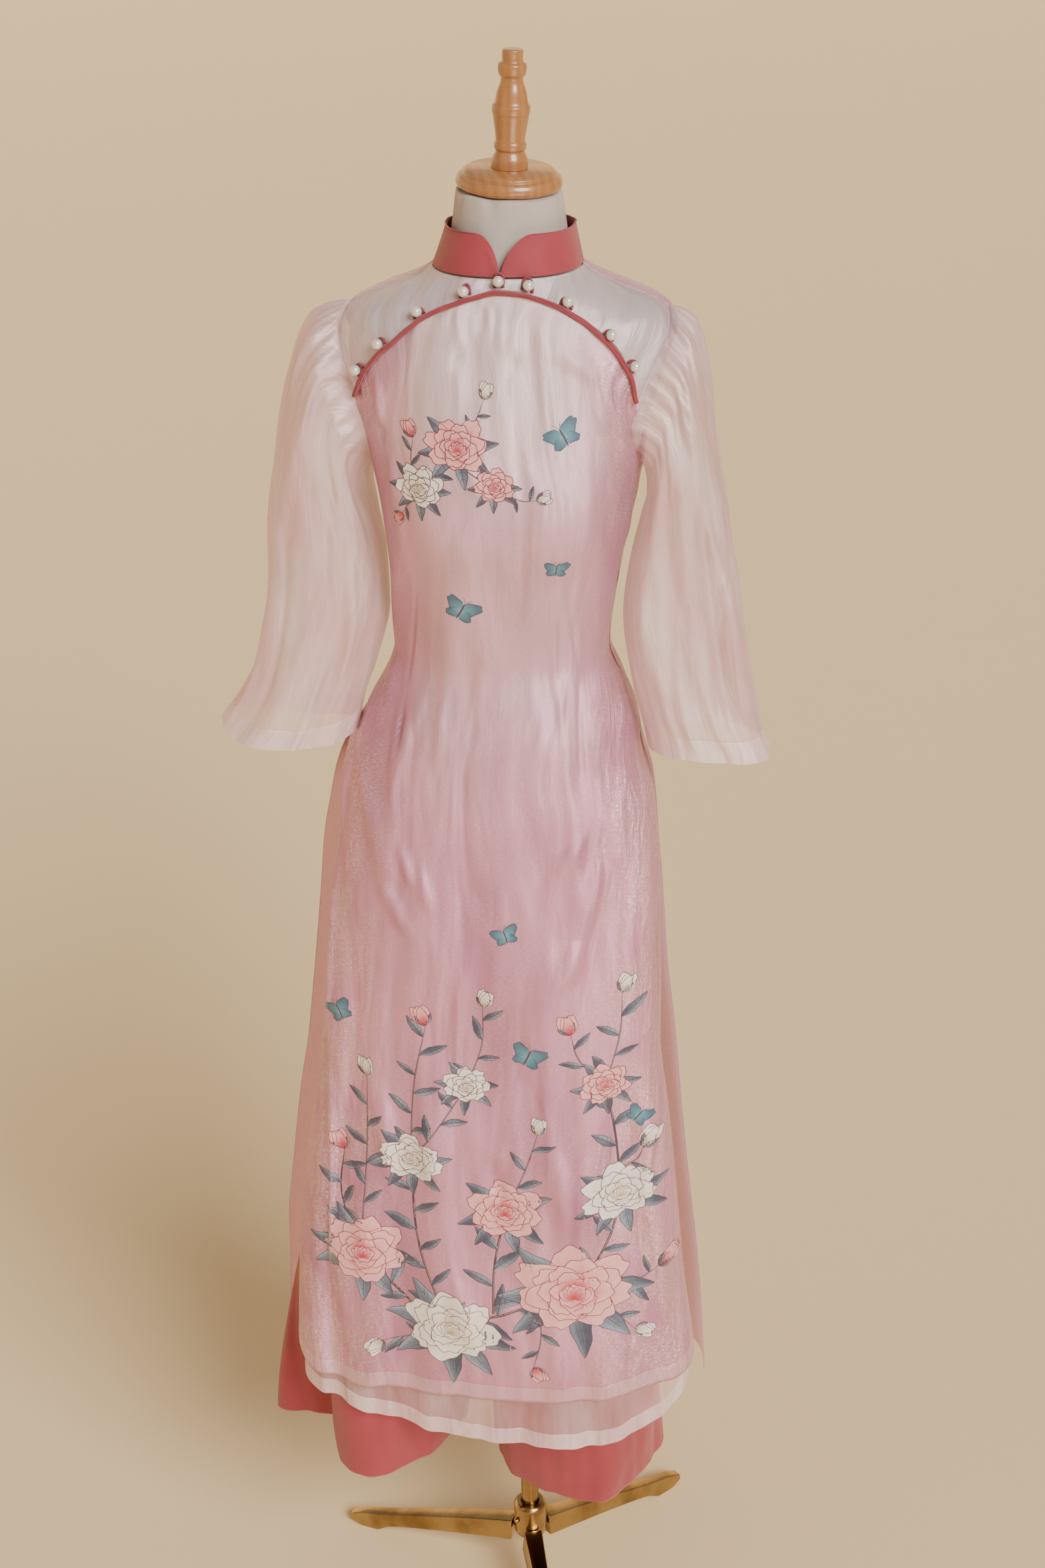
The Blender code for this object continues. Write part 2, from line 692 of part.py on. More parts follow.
def build_collar():
    """Mandarin collar, open in a notch at the front with rounded ends."""
    notch_degrees = 16.0
    slant, shift = 0.15, 2.6

    def point(across, up):
        low_edge = 0.35 + notch_degrees * up ** 1.3
        turn = mix(low_edge, 360 - low_edge, across)
        from_notch = min(turn, 360 - turn) - low_edge
        height = COLLAR_HEIGHT * mix(0.8, 1.0, smooth_step(0, 12, from_notch))
        base = ring_point(FRONT.at(0.0), turn)
        narrowing = 1 - slant * up
        x = base.x * narrowing + shift * up
        return Vector((x, base.y * narrowing, base.z + CLOTH + SEAM_GAP - 0.1 + height * up))

    return cloth("collar", "coral", point, 36, 3)


def build_piping():
    """Coral cord along the arc, lying on the seam."""
    short = 4.0
    count = 32
    points = []
    for i in range(count + 1):
        turn = mix(ARC.keys[0] + short, ARC.keys[-1] - short, i / count)
        points.append(arc_point(turn, 0.0, CLOTH + SEAM_GAP + 0.2 + PIPING_RADIUS)[0])
    return cord("piping", "coral", points, PIPING_RADIUS, 2)


def build_buttons():
    """Nine pearls, each held in a small loop that stands on the piping."""
    half_width = 5.0
    foot = PIPING_RADIUS + LOOP_RADIUS + SEAM_GAP / 2
    face = CLOTH + SEAM_GAP + 0.02
    apart = PEARL_RADIUS + LOOP_RADIUS + SEAM_GAP + 0.45
    pearl_lift = face + LOOP_RADIUS + math.sqrt(apart**2 - half_width**2)
    for number, (turn, reach) in enumerate(BUTTON_ROWS, start=1):
        straight = reach - LOOP_RADIUS - half_width
        outline = [(half_width, foot)]
        outline += [(half_width * math.cos(math.pi * i / 6), straight + half_width * math.sin(math.pi * i / 6))
                    for i in range(7)]
        outline.append((-half_width, foot))
        route = [yoke_point(turn, sideways, beyond, face + LOOP_RADIUS) for sideways, beyond in outline]
        cord(f"loop_{number}", "coral", route, LOOP_RADIUS, 1)
        centre = yoke_point(turn, 0.0, foot + 2.7, pearl_lift)
        bm = bmesh.new()
        bmesh.ops.create_icosphere(bm, subdivisions=2, radius=PEARL_RADIUS * MM,
                                   matrix=Matrix.Translation(centre * MM))
        add_mesh_object(f"pearl_{number}", bm, "pearl")


def closed_outline(rows, count):
    """Points evenly spaced along a smooth closed curve through the rows."""
    points = [np.array(row, dtype=float) for row in rows]
    total = len(points)
    fine = []
    for i in range(total):
        a, b, c, d = (points[(i + k) % total] for k in (-1, 0, 1, 2))
        for j in range(12):
            t = j / 12
            fine.append(0.5 * (2 * b + (c - a) * t + (2 * a - 5 * b + 4 * c - d) * t**2
                               + (3 * b - a - 3 * c + d) * t**3))
    fine.append(fine[0])
    lengths = np.concatenate([[0], np.cumsum([np.linalg.norm(q - p) for p, q in zip(fine, fine[1:])])])
    places = np.linspace(0, lengths[-1], count + 1)
    xs = np.interp(places, lengths, [p[0] for p in fine])
    ys = np.interp(places, lengths, [p[1] for p in fine])
    return list(zip(xs, ys))


def build_trouser_leg(name, side, outline, hem_z):
    """One trouser leg: half of the hips above the crotch, and a tube below it."""
    columns, rows = 26, 13
    hem = closed_outline(outline, columns)
    seam = CLOTH + SEAM_GAP

    def ring(across, z):
        section = HIP_LEG.at(z)
        opening = math.radians(90) * math.sqrt(smooth_step(CROTCH_Z, CROTCH_TOP_Z, z))
        middle = section.centre + side * seam
        outer = section.right if side > 0 else section.left
        radius = abs(outer - middle) / (1 + math.cos(opening) ** ROUNDNESS)
        centre_x = outer - side * radius
        start = math.pi if side > 0 else 0.0
        angle = start + mix(opening, 2 * math.pi - opening, across)
        cos, sin = math.cos(angle), math.sin(angle)
        depth = section.front if sin < 0 else section.back
        return Vector((centre_x + radius * power(cos, ROUNDNESS), depth * power(sin, ROUNDNESS), z))

    levels = rows_between((hem_z, 0), (CROTCH_Z, 5), (CROTCH_TOP_Z, 2), (BAND_LOW_Z - 0.6, 6))

    def point(across, up):
        z = read_marks(levels, up)
        place = ring(across, z)
        x, y = hem[round(across * columns)]
        if z < CROTCH_Z:
            share = ((CROTCH_Z - z) / (CROTCH_Z - hem_z)) ** 2.5
            place.x = mix(place.x, x, share)
            place.y = mix(place.y, y, share)
        if across in (0, 1):
            place.y += side * (2 * across - 1) * SEAM_GAP
        return place

    return cloth(name, "coral", point, columns, rows)


def build_waistband():
    """Plain band round the form's waist, under the tunic."""

    def point(across, up):
        section = form_section_below_waist(mix(BAND_LOW_Z, BAND_HIGH_Z, up), 0.5)
        return ring_point(section, 360 * across)

    return cloth("waistband", "coral", point, FORM_COLUMNS, 1, closed=True, thickness=BAND_THICKNESS)


def form_section_below_waist(z, ease):
    """Section of the form at a height below the waist, grown by an ease."""
    hips = HIPS.at(z)
    waist = inset(FRONT.at(WAIST_DOWN))
    share = smooth_step(HIP_ROWS[0][0], WAIST_Z, z)
    return SimpleNamespace(
        z=z, rise=0, side_y=0,
        left=mix(hips.centre - hips.half, waist.left, share) - ease,
        right=mix(hips.centre + hips.half, waist.right, share) + ease,
        front=mix(hips.front, waist.front, share) + ease,
        back=mix(hips.back, waist.back, share) + ease)


def inset(section):
    """Section of the form inside a section of the tunic."""
    return SimpleNamespace(z=section.z, rise=section.rise, side_y=0,
                           left=section.left + FORM_EASE, right=section.right - FORM_EASE,
                           front=section.front - FORM_EASE, back=section.back - FORM_EASE)


def build_form():
    """Smooth torso with neck and rounded underside, which touches the tunic at the upper back."""
    columns = FORM_COLUMNS
    sections = []
    for z in (NECK_TOP_Z, 1594, 1578):
        neck = NECK.at(z)
        sections.append(SimpleNamespace(z=z, rise=neck.rise, side_y=0, left=neck.centre - neck.half,
                                        right=neck.centre + neck.half, front=neck.front, back=neck.back))
    upper = rows_between((0, 0), (SHOULDER_TIP_DOWN, 3), (UNDERARM_DOWN, 5), (WAIST_DOWN, 4))
    sections += [inset(BACK.at(down)) for down in upper[:-1]]
    for z in (WAIST_Z, BAND_HIGH_Z, BAND_LOW_Z, 1100, 1036, 985, 930, 895, 872, FORM_BOTTOM_Z):
        sections.append(form_section_below_waist(z, 0))
    rings = []
    for section in sections:
        ring = [ring_point(section, 360 * i / columns) for i in range(columns)]
        nearness = smooth_step(1530, 1490, section.z) * smooth_step(1370, 1410, section.z)
        for i, point in enumerate(ring):
            behind = smooth_step(45, 15, abs(360 * i / columns - 180))
            point.y += (FORM_EASE - TOUCH_EASE) * nearness * behind
        if section.z == NECK_TOP_Z:
            for point in ring:
                point.z -= point.x * math.tan(LEAN)
        rings.append(ring)
    return solid_of_rings("form_torso", "form cloth", rings)


def lean_about_neck(made):
    """Tip a turned part with the form's neck."""
    pivot = Vector((0, 0, NECK_TOP_Z * MM))
    turn = Matrix.Rotation(LEAN, 4, "Y")
    made.matrix_world = Matrix.Translation(pivot) @ turn @ Matrix.Translation(-pivot)
    return made


def build_stand():
    """Pole, hub and three legs."""
    pole_bottom = HUB_BORE_FLOOR_Z + SEAM_GAP
    pole_top = FORM_BOTTOM_Z - SEAM_GAP
    lathe("pole", "brass", [(POLE_RADIUS, pole_top), (POLE_RADIUS, pole_bottom)], 20)
    bm = bmesh.new()
    outline = HUB_ROWS + [(0, HUB_BORE_FLOOR_Z), (POLE_RADIUS + SEAM_GAP, HUB_BORE_FLOOR_Z)]
    profile = [bm.verts.new((radius * MM, 0, z * MM)) for radius, z in outline]
    upper = profile[:7]
    bore = [profile[7], profile[8], profile[0]]
    edges = [bm.edges.new(pair) for pair in zip(upper, upper[1:])]
    edges += [bm.edges.new(pair) for pair in zip(bore, bore[1:])]
    bmesh.ops.spin(bm, geom=profile + edges, cent=(0, 0, 0), axis=(0, 0, 1),
                   angle=2 * math.pi, steps=24, use_duplicate=False)
    bmesh.ops.remove_doubles(bm, verts=bm.verts, dist=0.01 * MM)
    bmesh.ops.recalc_face_normals(bm, faces=bm.faces)
    add_mesh_object("hub", bm, "brass")
    for number, turn in enumerate(STAND_LEG_TURNS, start=1):
        build_stand_leg(f"stand_leg_{number}", turn)
    build_set_screw()


def build_stand_leg(name, turn):
    """Cast leg, deep at the hub and thin at its foot."""
    rings = []
    for out, under, upper, width in STAND_LEG_ROWS:
        half = width / 2
        crown = width * 0.36
        rings.append([Vector((out, -half, under)), Vector((out, half, under)),
                      Vector((out, half, mix(under, upper, 0.72))), Vector((out, crown, upper)),
                      Vector((out, -crown, upper)), Vector((out, -half, mix(under, upper, 0.72)))])
    made = solid_of_rings(name, "brass", rings)
    made.rotation_euler.z = math.radians(turn)
    return made


def build_set_screw():
    """Small screw head on the hub's front left."""
    bm = bmesh.new()
    bmesh.ops.create_cone(bm, cap_ends=True, segments=12, radius1=3.2 * MM, radius2=2.8 * MM,
                          depth=SCREW_HEAD * MM)
    made = add_mesh_object("set_screw", bm, "brass")
    turn = math.radians(225)
    out = (HUB_RADIUS + SEAM_GAP + 0.1 + SCREW_HEAD / 2) * MM
    made.location = (out * math.cos(turn), out * math.sin(turn), 80 * MM)
    made.rotation_euler = (0, math.radians(90), turn)
    return made


def move_origin_under_middle():
    """Shift every object so that the bounding box's bottom centre is the origin."""
    bpy.context.view_layer.update()
    graph = bpy.context.evaluated_depsgraph_get()
    low = np.full(3, np.inf)
    high = -low
    made = [each for each in bpy.context.scene.objects if each.type in {"MESH", "CURVE"}]
    for each in made:
        evaluated = each.evaluated_get(graph)
        mesh = evaluated.to_mesh()
        for vertex in mesh.vertices:
            place = each.matrix_world @ vertex.co
            low = np.minimum(low, place)
            high = np.maximum(high, place)
        evaluated.to_mesh_clear()
    shift = Vector((-(low[0] + high[0]) / 2, -(low[1] + high[1]) / 2, -low[2]))
    for each in made:
        each.matrix_world = Matrix.Translation(shift) @ each.matrix_world
    print("shift mm", [round(value / MM, 2) for value in shift])


def main():
    for old in list(bpy.data.objects):
        bpy.data.objects.remove(old, do_unlink=True)
    build_form()
    lean_about_neck(lathe("neck_cap", "wood", NECK_CAP_ROWS, 24))
    lean_about_neck(lathe("finial", "wood", FINIAL_ROWS, 16))
    build_stand()
    build_front_panel()
    build_under_layer()
    build_back_panel()
    build_yoke()
    build_sleeve("sleeve_left", 1, SLEEVE_LEFT_ROWS)
    build_sleeve("sleeve_right", -1, SLEEVE_RIGHT_ROWS)
    build_collar()
    build_piping()
    build_buttons()
    build_trouser_leg("trouser_leg_left", 1, LEFT_HEM_OUTLINE, LEFT_HEM_Z)
    build_trouser_leg("trouser_leg_right", -1, RIGHT_HEM_OUTLINE, RIGHT_HEM_Z)
    build_waistband()
    move_origin_under_middle()


main()
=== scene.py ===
"""Looks for an ao dai on its dress form, laid out as an add-on with one operator for each group of pieces.

Tables are in millimetres round the stand's upright pole, with X to the viewer's right and the front
towards -Y. Names say left and right as the wearer has them, so left is +X.
"""
import math
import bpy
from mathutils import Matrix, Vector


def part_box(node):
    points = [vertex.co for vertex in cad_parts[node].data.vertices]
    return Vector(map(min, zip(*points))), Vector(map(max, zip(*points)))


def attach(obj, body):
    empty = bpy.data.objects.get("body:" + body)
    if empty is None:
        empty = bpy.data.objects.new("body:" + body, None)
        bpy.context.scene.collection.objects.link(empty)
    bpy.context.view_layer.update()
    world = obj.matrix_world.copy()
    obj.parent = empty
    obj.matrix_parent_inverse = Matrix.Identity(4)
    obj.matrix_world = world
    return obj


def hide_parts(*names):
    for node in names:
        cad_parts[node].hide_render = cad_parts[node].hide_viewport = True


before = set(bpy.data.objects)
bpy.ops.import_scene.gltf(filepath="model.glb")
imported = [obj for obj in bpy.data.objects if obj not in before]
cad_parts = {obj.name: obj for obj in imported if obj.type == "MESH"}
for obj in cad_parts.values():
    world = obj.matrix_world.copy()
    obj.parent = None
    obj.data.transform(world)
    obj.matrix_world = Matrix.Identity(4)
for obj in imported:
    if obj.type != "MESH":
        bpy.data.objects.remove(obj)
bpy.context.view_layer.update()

from types import SimpleNamespace

import bpy
import numpy as np
from bpy.props import FloatProperty, FloatVectorProperty, PointerProperty
from mathutils import Matrix, Vector
from mathutils.bvhtree import BVHTree

bl_info = {
    "name": "Ao dai on a dress form",
    "version": (1, 0, 0),
    "blender": (4, 5, 0),
    "location": "3D View > Sidebar > Ao dai",
    "description": "Builds the cloth, print, buttons, form, stand and studio of a long pink ao dai",
    "category": "Object",
}

POLE_LOW, POLE_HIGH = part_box("pole")
POLE_AXIS = np.array([(POLE_LOW[0] + POLE_HIGH[0]) / 2, (POLE_LOW[1] + POLE_HIGH[1]) / 2, 0.0])

MM = 0.001
CLOTH = 1.2
SEAM_GAP = 0.3
ROUNDNESS = 2 / 2.3
PIPING_RADIUS = 2.3
PIPING_CLEARANCE = 0.2
PIPING_INSET_TURN = 4.0
LOOP_RADIUS = 1.4
LOOP_HALF_WIDTH = 5.0
LOOP_CLEARANCE = 0.02
PEARL_RADIUS = 5.0
PEARL_CLEARANCE = 0.45
PEARL_REACH = 2.7
HOLE_RADIUS = 0.7
HOLE_DEPTH_SHARE = 0.45
COLLAR_HEIGHT = 36.0
ARM_LEVEL_Z = 1410
CROTCH_TOP_Z = 856
CROTCH_Z = 796
TROUSER_TOP_Z = 1149
NECK_TOP_Z = 1628
UNDER_LAYER_TOP_Z = 430
LEAN = math.radians(2.5)

# Body of the tunic, inner face: side edges, depths to front and back, rise of the back over the front
BODY_COLUMNS = "down z left right front back rise side_y"
BODY_ROWS = [
    (1564, -69, 66, 72, 63, -8, 0), (1554, -82, 79, 78, 72, -7, 0), (1544, -103, 100, 82, 81, -6, 0),
    (1532, -130, 127, 86, 88, -4, 0), (1519, -151, 147, 90, 93, -2, 0), (1500, -160, 154, 94, 98, 0, 0),
    (1480, -161, 154, 98, 102, 0, 0), (1450, -154, 146, 104, 105, 0, 0), (1410, -141, 132, 111, 107, 0, 0),
    (1370, -131, 122, 117, 106, 0, 0), (1330, -124, 114, 119, 101, 0, 0), (1270, -118, 101, 106, 90, 0, 0),
    (1186, -114, 90, 90, 80, 0, 0), (1148, -129, 104, 95, 88, 0, 0), (1110, -149, 118, 101, 98, 0, 0),
]
FRONT_SKIRT_ROWS = [
    (1083, -160, 121, 103, 0, 0, -8), (1030, -172, 134, 108, 0, 0, -22), (950, -181, 137, 113, 0, 0, -34),
    (880, -187, 140, 117, 0, 0, -42), (800, -195, 143, 120, 0, 0, -48), (735, -201, 148, 122, 0, 0, -52),
    (670, -212, 157, 125, 0, 0, -56), (560, -231, 168, 129, 0, 0, -62), (470, -238, 178, 132, 0, 0, -66),
    (390, -240, 186, 134, 0, 0, -69), (340, -241, 189, 134, 0, 0, -70), (270, -243, 192, 135, 0, 0, -72),
]
BACK_SKIRT_ROWS = [
    (1083, -167, 122, 0, 105, 0, 4), (1030, -187, 134, 0, 115, 0, 10), (936, -203, 140, 0, 123, 0, 14),
    (778, -222, 152, 0, 128, 0, 18), (630, -246, 166, 0, 138, 0, 22), (430, -268, 184, 0, 146, 0, 26),
    (270, -274, 196, 0, 152, 0, 30),
]

# Seam curves: degrees from the front centre, and millimetres down the side from the neck seam
ARC_ROWS = [
    (-64, 174), (-52.5, 150), (-46, 134), (-40, 120), (-34, 108), (-29, 92), (-26, 73), (-21, 53),
    (-11, 31), (0, 19), (10, 22), (17, 31), (24, 48), (28, 70), (32, 94), (37, 109), (42, 124), (46, 139),
    (51, 160), (56, 174),
]
ARMHOLE_ROWS = [
    (91, 90, 90, 90), (106, 75, 79, 83), (128, 61, 69, 75), (150, 57, 65, 69), (174, 56, 64, 67),
    (204, 60, 66, 68), (228, 72, 75, 75), (246, 90, 90, 90),
]
HEM_ROWS = [
    (-1.0, 402, 358, 352), (-0.9, 376, 334, 336), (-0.6, 357, 326, 312), (-0.3, 358, 312, 298),
    (0.0, 356, 296, 291), (0.3, 358, 292, 288), (0.6, 370, 320, 286), (0.85, 379, 352, 284),
    (1.0, 396, 374, 282),
]

# Large folds that the solids have too: place across, top, bottom, width as a share, depth outward
FRONT_FOLDS = [
    (-0.80, 1240, 300, 0.07, -4.0), (-0.62, 1270, 1000, 0.05, 2.5), (0.55, 1280, 1010, 0.05, 2.5),
    (-0.88, 900, 240, 0.06, 5.0), (-0.45, 760, 240, 0.12, -5.0), (0.30, 820, 240, 0.14, 5.0),
    (0.72, 1000, 240, 0.08, -4.0), (0.90, 900, 240, 0.06, 4.0),
]
BACK_FOLDS = [
    (-0.85, 1000, 240, 0.08, 6.0), (-0.50, 1060, 240, 0.11, -7.0), (-0.15, 1080, 240, 0.12, 7.0),
    (0.25, 1060, 240, 0.12, -6.0), (0.60, 1040, 240, 0.11, 7.0), (0.88, 900, 240, 0.07, -5.0),
]

# Sleeves as rings from the armhole down: outer and inner edge, half depth, and the middle in depth
SLEEVE_COLUMNS = "down outer outer_z inner inner_z half_depth mid_y"
SLEEVE_LEFT_ROWS = [
    (0, 150, 1520, 125, 1364, 60, 0), (30, 168, 1505, 128, 1358, 63, -1), (70, 181, 1462, 128, 1343, 64, -3),
    (130, 190, 1398, 122, 1318, 60, -6), (210, 203, 1318, 112, 1275, 56, -8),
    (290, 216, 1240, 106, 1222, 52, -9), (370, 229, 1150, 116, 1150, 48, -10),
    (415, 241, 1106, 126, 1110, 46, -12), (440, 252, 1082, 131, 1086, 45, -12),
]
SLEEVE_RIGHT_ROWS = [
    (0, -156, 1522, -134, 1364, 60, 0), (30, -182, 1507, -137, 1358, 63, -1),
    (70, -204, 1462, -137, 1343, 64, -3), (130, -222, 1395, -132, 1318, 60, -6),
    (210, -236, 1307, -125, 1275, 56, -8), (290, -244, 1230, -123, 1222, 52, -10),
    (350, -255, 1168, -137, 1165, 48, -12), (390, -272, 1132, -150, 1128, 46, -13),
    (425, -297, 1099, -158, 1093, 45, -14),
]
SLEEVE_HEM_DROP = {1: 0.0, -1: 12.0}
SLEEVE_ROW_SPACING = 1.15
SLEEVE_TUCK = 1.4
SLEEVE_SEAM_BLEND = 34
GATHER_COUNT = 12
GATHER_DEPTH = 2.5

# Trousers: hips in common, then each leg's ring blends into the outline of its hem
HIP_LEG_COLUMNS = "z left right centre front back"
HIP_LEG_ROWS = [
    (1149, -122.8, 90.8, -16, 84.8, 80.8), (1117, -138, 104, -17, 92, 90), (1083, -149, 111, -19, 95, 96),
    (1036, -159, 117, -21, 99, 104), (1000, -164, 120, -24, 100, 107), (960, -166, 121, -28, 99, 108),
    (900, -171, 124, -36, 99, 108), (860, -176, 126, -42, 99, 107), (800, -186, 129, -50, 100, 105),
    (600, -222, 138, -50, 102, 98), (450, -238, 141, -50, 106, 94), (339, -252, 143, -50, 110, 92),
    (190, -285, 148, -50, 110, 90),
]
RIGHT_HEM_OUTLINE = [
    (-72, 12), (-82, 56), (-130, 82), (-200, 84), (-262, 60), (-291, 16), (-285, -3), (-250, -5),
    (-220, -6), (-211, -28), (-206, -56), (-194, -94), (-176, -107), (-148, -106), (-122, -80),
    (-104, -54), (-86, -32), (-76, -12),
]
LEFT_HEM_OUTLINE = [
    (-38, 30), (-38, 4), (-30, -24), (-2, -60), (33, -83), (71, -91), (107, -75), (132, -41),
    (146, 2), (149, 48), (120, 76), (62, 88), (6, 80), (-26, 56),
]
RIGHT_HEM_Z = 214
LEFT_HEM_Z = 184

# Buttons: place along the arc in degrees, and how far each loop reaches up from the piping
BUTTON_ROWS = [
    (-49, 12.5), (-38, 12.5), (-27, 12.5), (-14, 13.5), (0, 15.4), (13, 13.5), (26, 13.0), (35, 13.0),
    (44, 12.5),
]

# Turned wood: radius and height, top to bottom
FINIAL_ROWS = [
    (8.6, 1751), (9.6, 1749.5), (9.6, 1741), (12.6, 1738.5), (13, 1734), (12.2, 1729.5), (10.4, 1727),
    (10.4, 1723), (13.4, 1714), (15.1, 1705), (17.2, 1702), (17.2, 1696), (16.3, 1692.5), (13.3, 1672),
    (14.5, 1669), (14.5, 1664), (13, 1661.5), (16, 1655), (16.8, 1646.6),
]
NECK_CAP_ROWS = [
    (39, 1646.2), (42.5, 1644), (43, 1641.5), (46.5, 1640), (48.6, 1635), (47.4, 1630.5), (44, 1628.3),
]

# Turned hub: radius and height, from its bore over the top and down
HUB_ROWS = [
    (10.4, 72), (10.4, 99.2), (11.0, 100), (15.2, 100), (17.8, 97.8), (18.9, 95.4), (19.0, 92), (19.0, 60.6),
    (18.4, 59), (17.5, 56.4), (17, 56),
]

# Stand legs in side view: distance from the pole, under and upper height, width
STAND_LEG_COLUMNS = "out under upper width"
STAND_LEG_ROWS = [
    (19.4, 44, 70, 26), (60, 36, 60, 23), (120, 24, 44, 20), (180, 9, 27, 17), (196, 0, 23, 16),
    (214, 0, 19, 15), (230, 6, 13, 13),
]
STAND_LEG_TURNS = (45, 165, 285)
STAND_LEG_TOP_SHARE = 0.80


class Profile:
    """Smooth curves without overshoot through a table, read along its first column."""

    def __init__(self, columns, rows):
        self.columns = columns.split()
        self.values = np.array(sorted(rows), dtype=float)
        self.keys = self.values[:, 0]
        rates = np.diff(self.values, axis=0) / np.diff(self.keys)[:, None]
        before, after = rates[:-1], rates[1:]
        same_way = before * after > 0
        mean = np.where(same_way, 2 * before * after / np.where(same_way, before + after, 1), 0)
        self.slopes = np.vstack([rates[:1], mean, rates[-1:]])

    def at(self, key):
        """All columns at an array of keys, as attributes."""
        key = np.clip(np.asarray(key, dtype=float), self.keys[0], self.keys[-1])
        i = np.clip(np.searchsorted(self.keys, key, side="right") - 1, 0, len(self.keys) - 2)
        step = (self.keys[i + 1] - self.keys[i])[..., None]
        t = (key - self.keys[i])[..., None] / step
        values = ((2 * t**3 - 3 * t**2 + 1) * self.values[i] + (t**3 - 2 * t**2 + t) * step * self.slopes[i]
                  + (3 * t**2 - 2 * t**3) * self.values[i + 1] + (t**3 - t**2) * step * self.slopes[i + 1])
        return SimpleNamespace(**{name: values[..., n] for n, name in enumerate(self.columns)})


def with_down(rows):
    """Put each row's distance down the body's side, from the neck seam, in front of it."""
    result = [(0.0, *rows[0])]
    for last, row in zip(rows, rows[1:]):
        half_change = ((row[2] - row[1]) - (last[2] - last[1])) / 2
        result.append((result[-1][0] + math.hypot(half_change, row[0] - last[0]), *row))
    return result


def smooth(low, high, value):
    """0 at low, 1 at high, and an even S between them; works for falling ranges too."""
    t = np.clip((value - low) / (high - low), 0.0, 1.0)
    return t * t * (3 - 2 * t)


def mix(a, b, share):
    """Value on the way from a to b."""
    return a + (b - a) * share


def power(value, exponent):
    """Power that keeps the sign."""
    return np.sign(value) * np.abs(value) ** exponent


FRONT = Profile(BODY_COLUMNS, with_down(BODY_ROWS + FRONT_SKIRT_ROWS))
BACK = Profile(BODY_COLUMNS, with_down(BODY_ROWS + BACK_SKIRT_ROWS))
ARC = Profile("turn down", ARC_ROWS)
ARMHOLE = Profile("down left right behind", ARMHOLE_ROWS)
HEMS = Profile("share front under back", HEM_ROWS)
HIP_LEG = Profile(HIP_LEG_COLUMNS, HIP_LEG_ROWS)


def down_at(profile, z):
    """Distance down the side at which a profile reaches a height."""
    return np.interp(-np.asarray(z, dtype=float), -profile.values[:, 1], profile.keys)


ARM_LEVEL_DOWN = float(down_at(FRONT, ARM_LEVEL_Z))
SHOULDER_TIP_DOWN = ARMHOLE.keys[0]
UNDERARM_DOWN = ARMHOLE.keys[-1]


def ring_point(section, turn):
    """Points of rounded sections, at turns in degrees from the front centre towards +X."""
    side, ahead = np.sin(np.radians(turn)), np.cos(np.radians(turn))
    x = (section.left + section.right) / 2 + (section.right - section.left) / 2 * power(side, ROUNDNESS)
    reach = np.where(ahead > 0, -section.front, section.back)
    y = mix(section.side_y, reach, np.abs(ahead) ** ROUNDNESS)
    z = section.z + section.rise * (1 - ahead) / 2
    return np.stack(np.broadcast_arrays(x, y, z), axis=-1)


def bust_swell(turn, z):
    """Height in mm of the two soft bust mounds over the plain section."""
    return 7.0 * np.exp(-((np.abs(turn) - 30) / 17) ** 2 - ((z - 1352) / 52) ** 2)


def fold_height(folds, across, z):
    """Sum of a panel's large folds."""
    return sum(depth * smooth(top, mix(top, bottom, 0.6), z) * np.exp(-((across - place) / width) ** 2)
               for place, top, bottom, width, depth in folds)


def front_point(turn, down):
    """Inner face of the front panel and the yoke."""
    section = FRONT.at(down)
    point = ring_point(section, turn)
    across = power(np.sin(np.radians(turn)), ROUNDNESS)
    point[..., 1] -= bust_swell(turn, section.z) + fold_height(FRONT_FOLDS, across, section.z) + SEAM_GAP / 2
    return point


def back_point(turn, down):
    """Inner face of the back panel, the turn running from 90 over 180 to 270."""
    section = BACK.at(down)
    point = ring_point(section, turn)
    across = power(np.sin(np.radians(turn)), ROUNDNESS)
    point[..., 1] += fold_height(BACK_FOLDS, across, section.z) + SEAM_GAP / 2
    return point


def unit(vectors):
    """Vectors of length 1, along the last axis."""
    return vectors / np.maximum(np.linalg.norm(vectors, axis=-1, keepdims=True), 1e-9)


def outward(point_function, turn, down, step=0.4):
    """Unit normals of a surface, away from the body."""
    side = point_function(turn + step, down) - point_function(turn - step, down)
    up = point_function(turn, down - step) - point_function(turn, down + step)
    return unit(np.cross(side, up))


def arc_frame(turn):
    """Points of the arc with the directions along it, towards the neck and outward."""
    down = ARC.at(turn).down
    along = unit(front_point(turn + 1.0, ARC.at(turn + 1.0).down)
                 - front_point(turn - 1.0, ARC.at(turn - 1.0).down))
    normal = outward(front_point, turn, down)
    return front_point(turn, down), along, unit(np.cross(normal, along)), normal


def yoke_point(turn, sideways, beyond, lift):
    """Place on the yoke, in mm along and above the arc from one turn, lifted off its face."""
    arc_down = float(ARC.at(turn).down)
    _, along, towards_neck, _ = arc_frame(turn)
    step = 0.5
    per_turn = (front_point(turn + step, arc_down) - front_point(turn - step, arc_down)) / (2 * step)
    per_down = (front_point(turn, arc_down + step) - front_point(turn, arc_down - step)) / (2 * step)
    wanted = along * sideways + towards_neck * beyond
    moves = np.linalg.lstsq(np.array([per_turn, per_down]).T, wanted, rcond=None)[0]
    room = arc_down - 1.0
    share = min(1.0, room / max(-moves[1], room))
    place = (turn + moves[0] * share, arc_down + moves[1] * share)
    past_seam = (along * sideways + np.array([0, 0, beyond])) * (1 - share)
    return front_point(*place) + outward(front_point, *place) * lift + past_seam


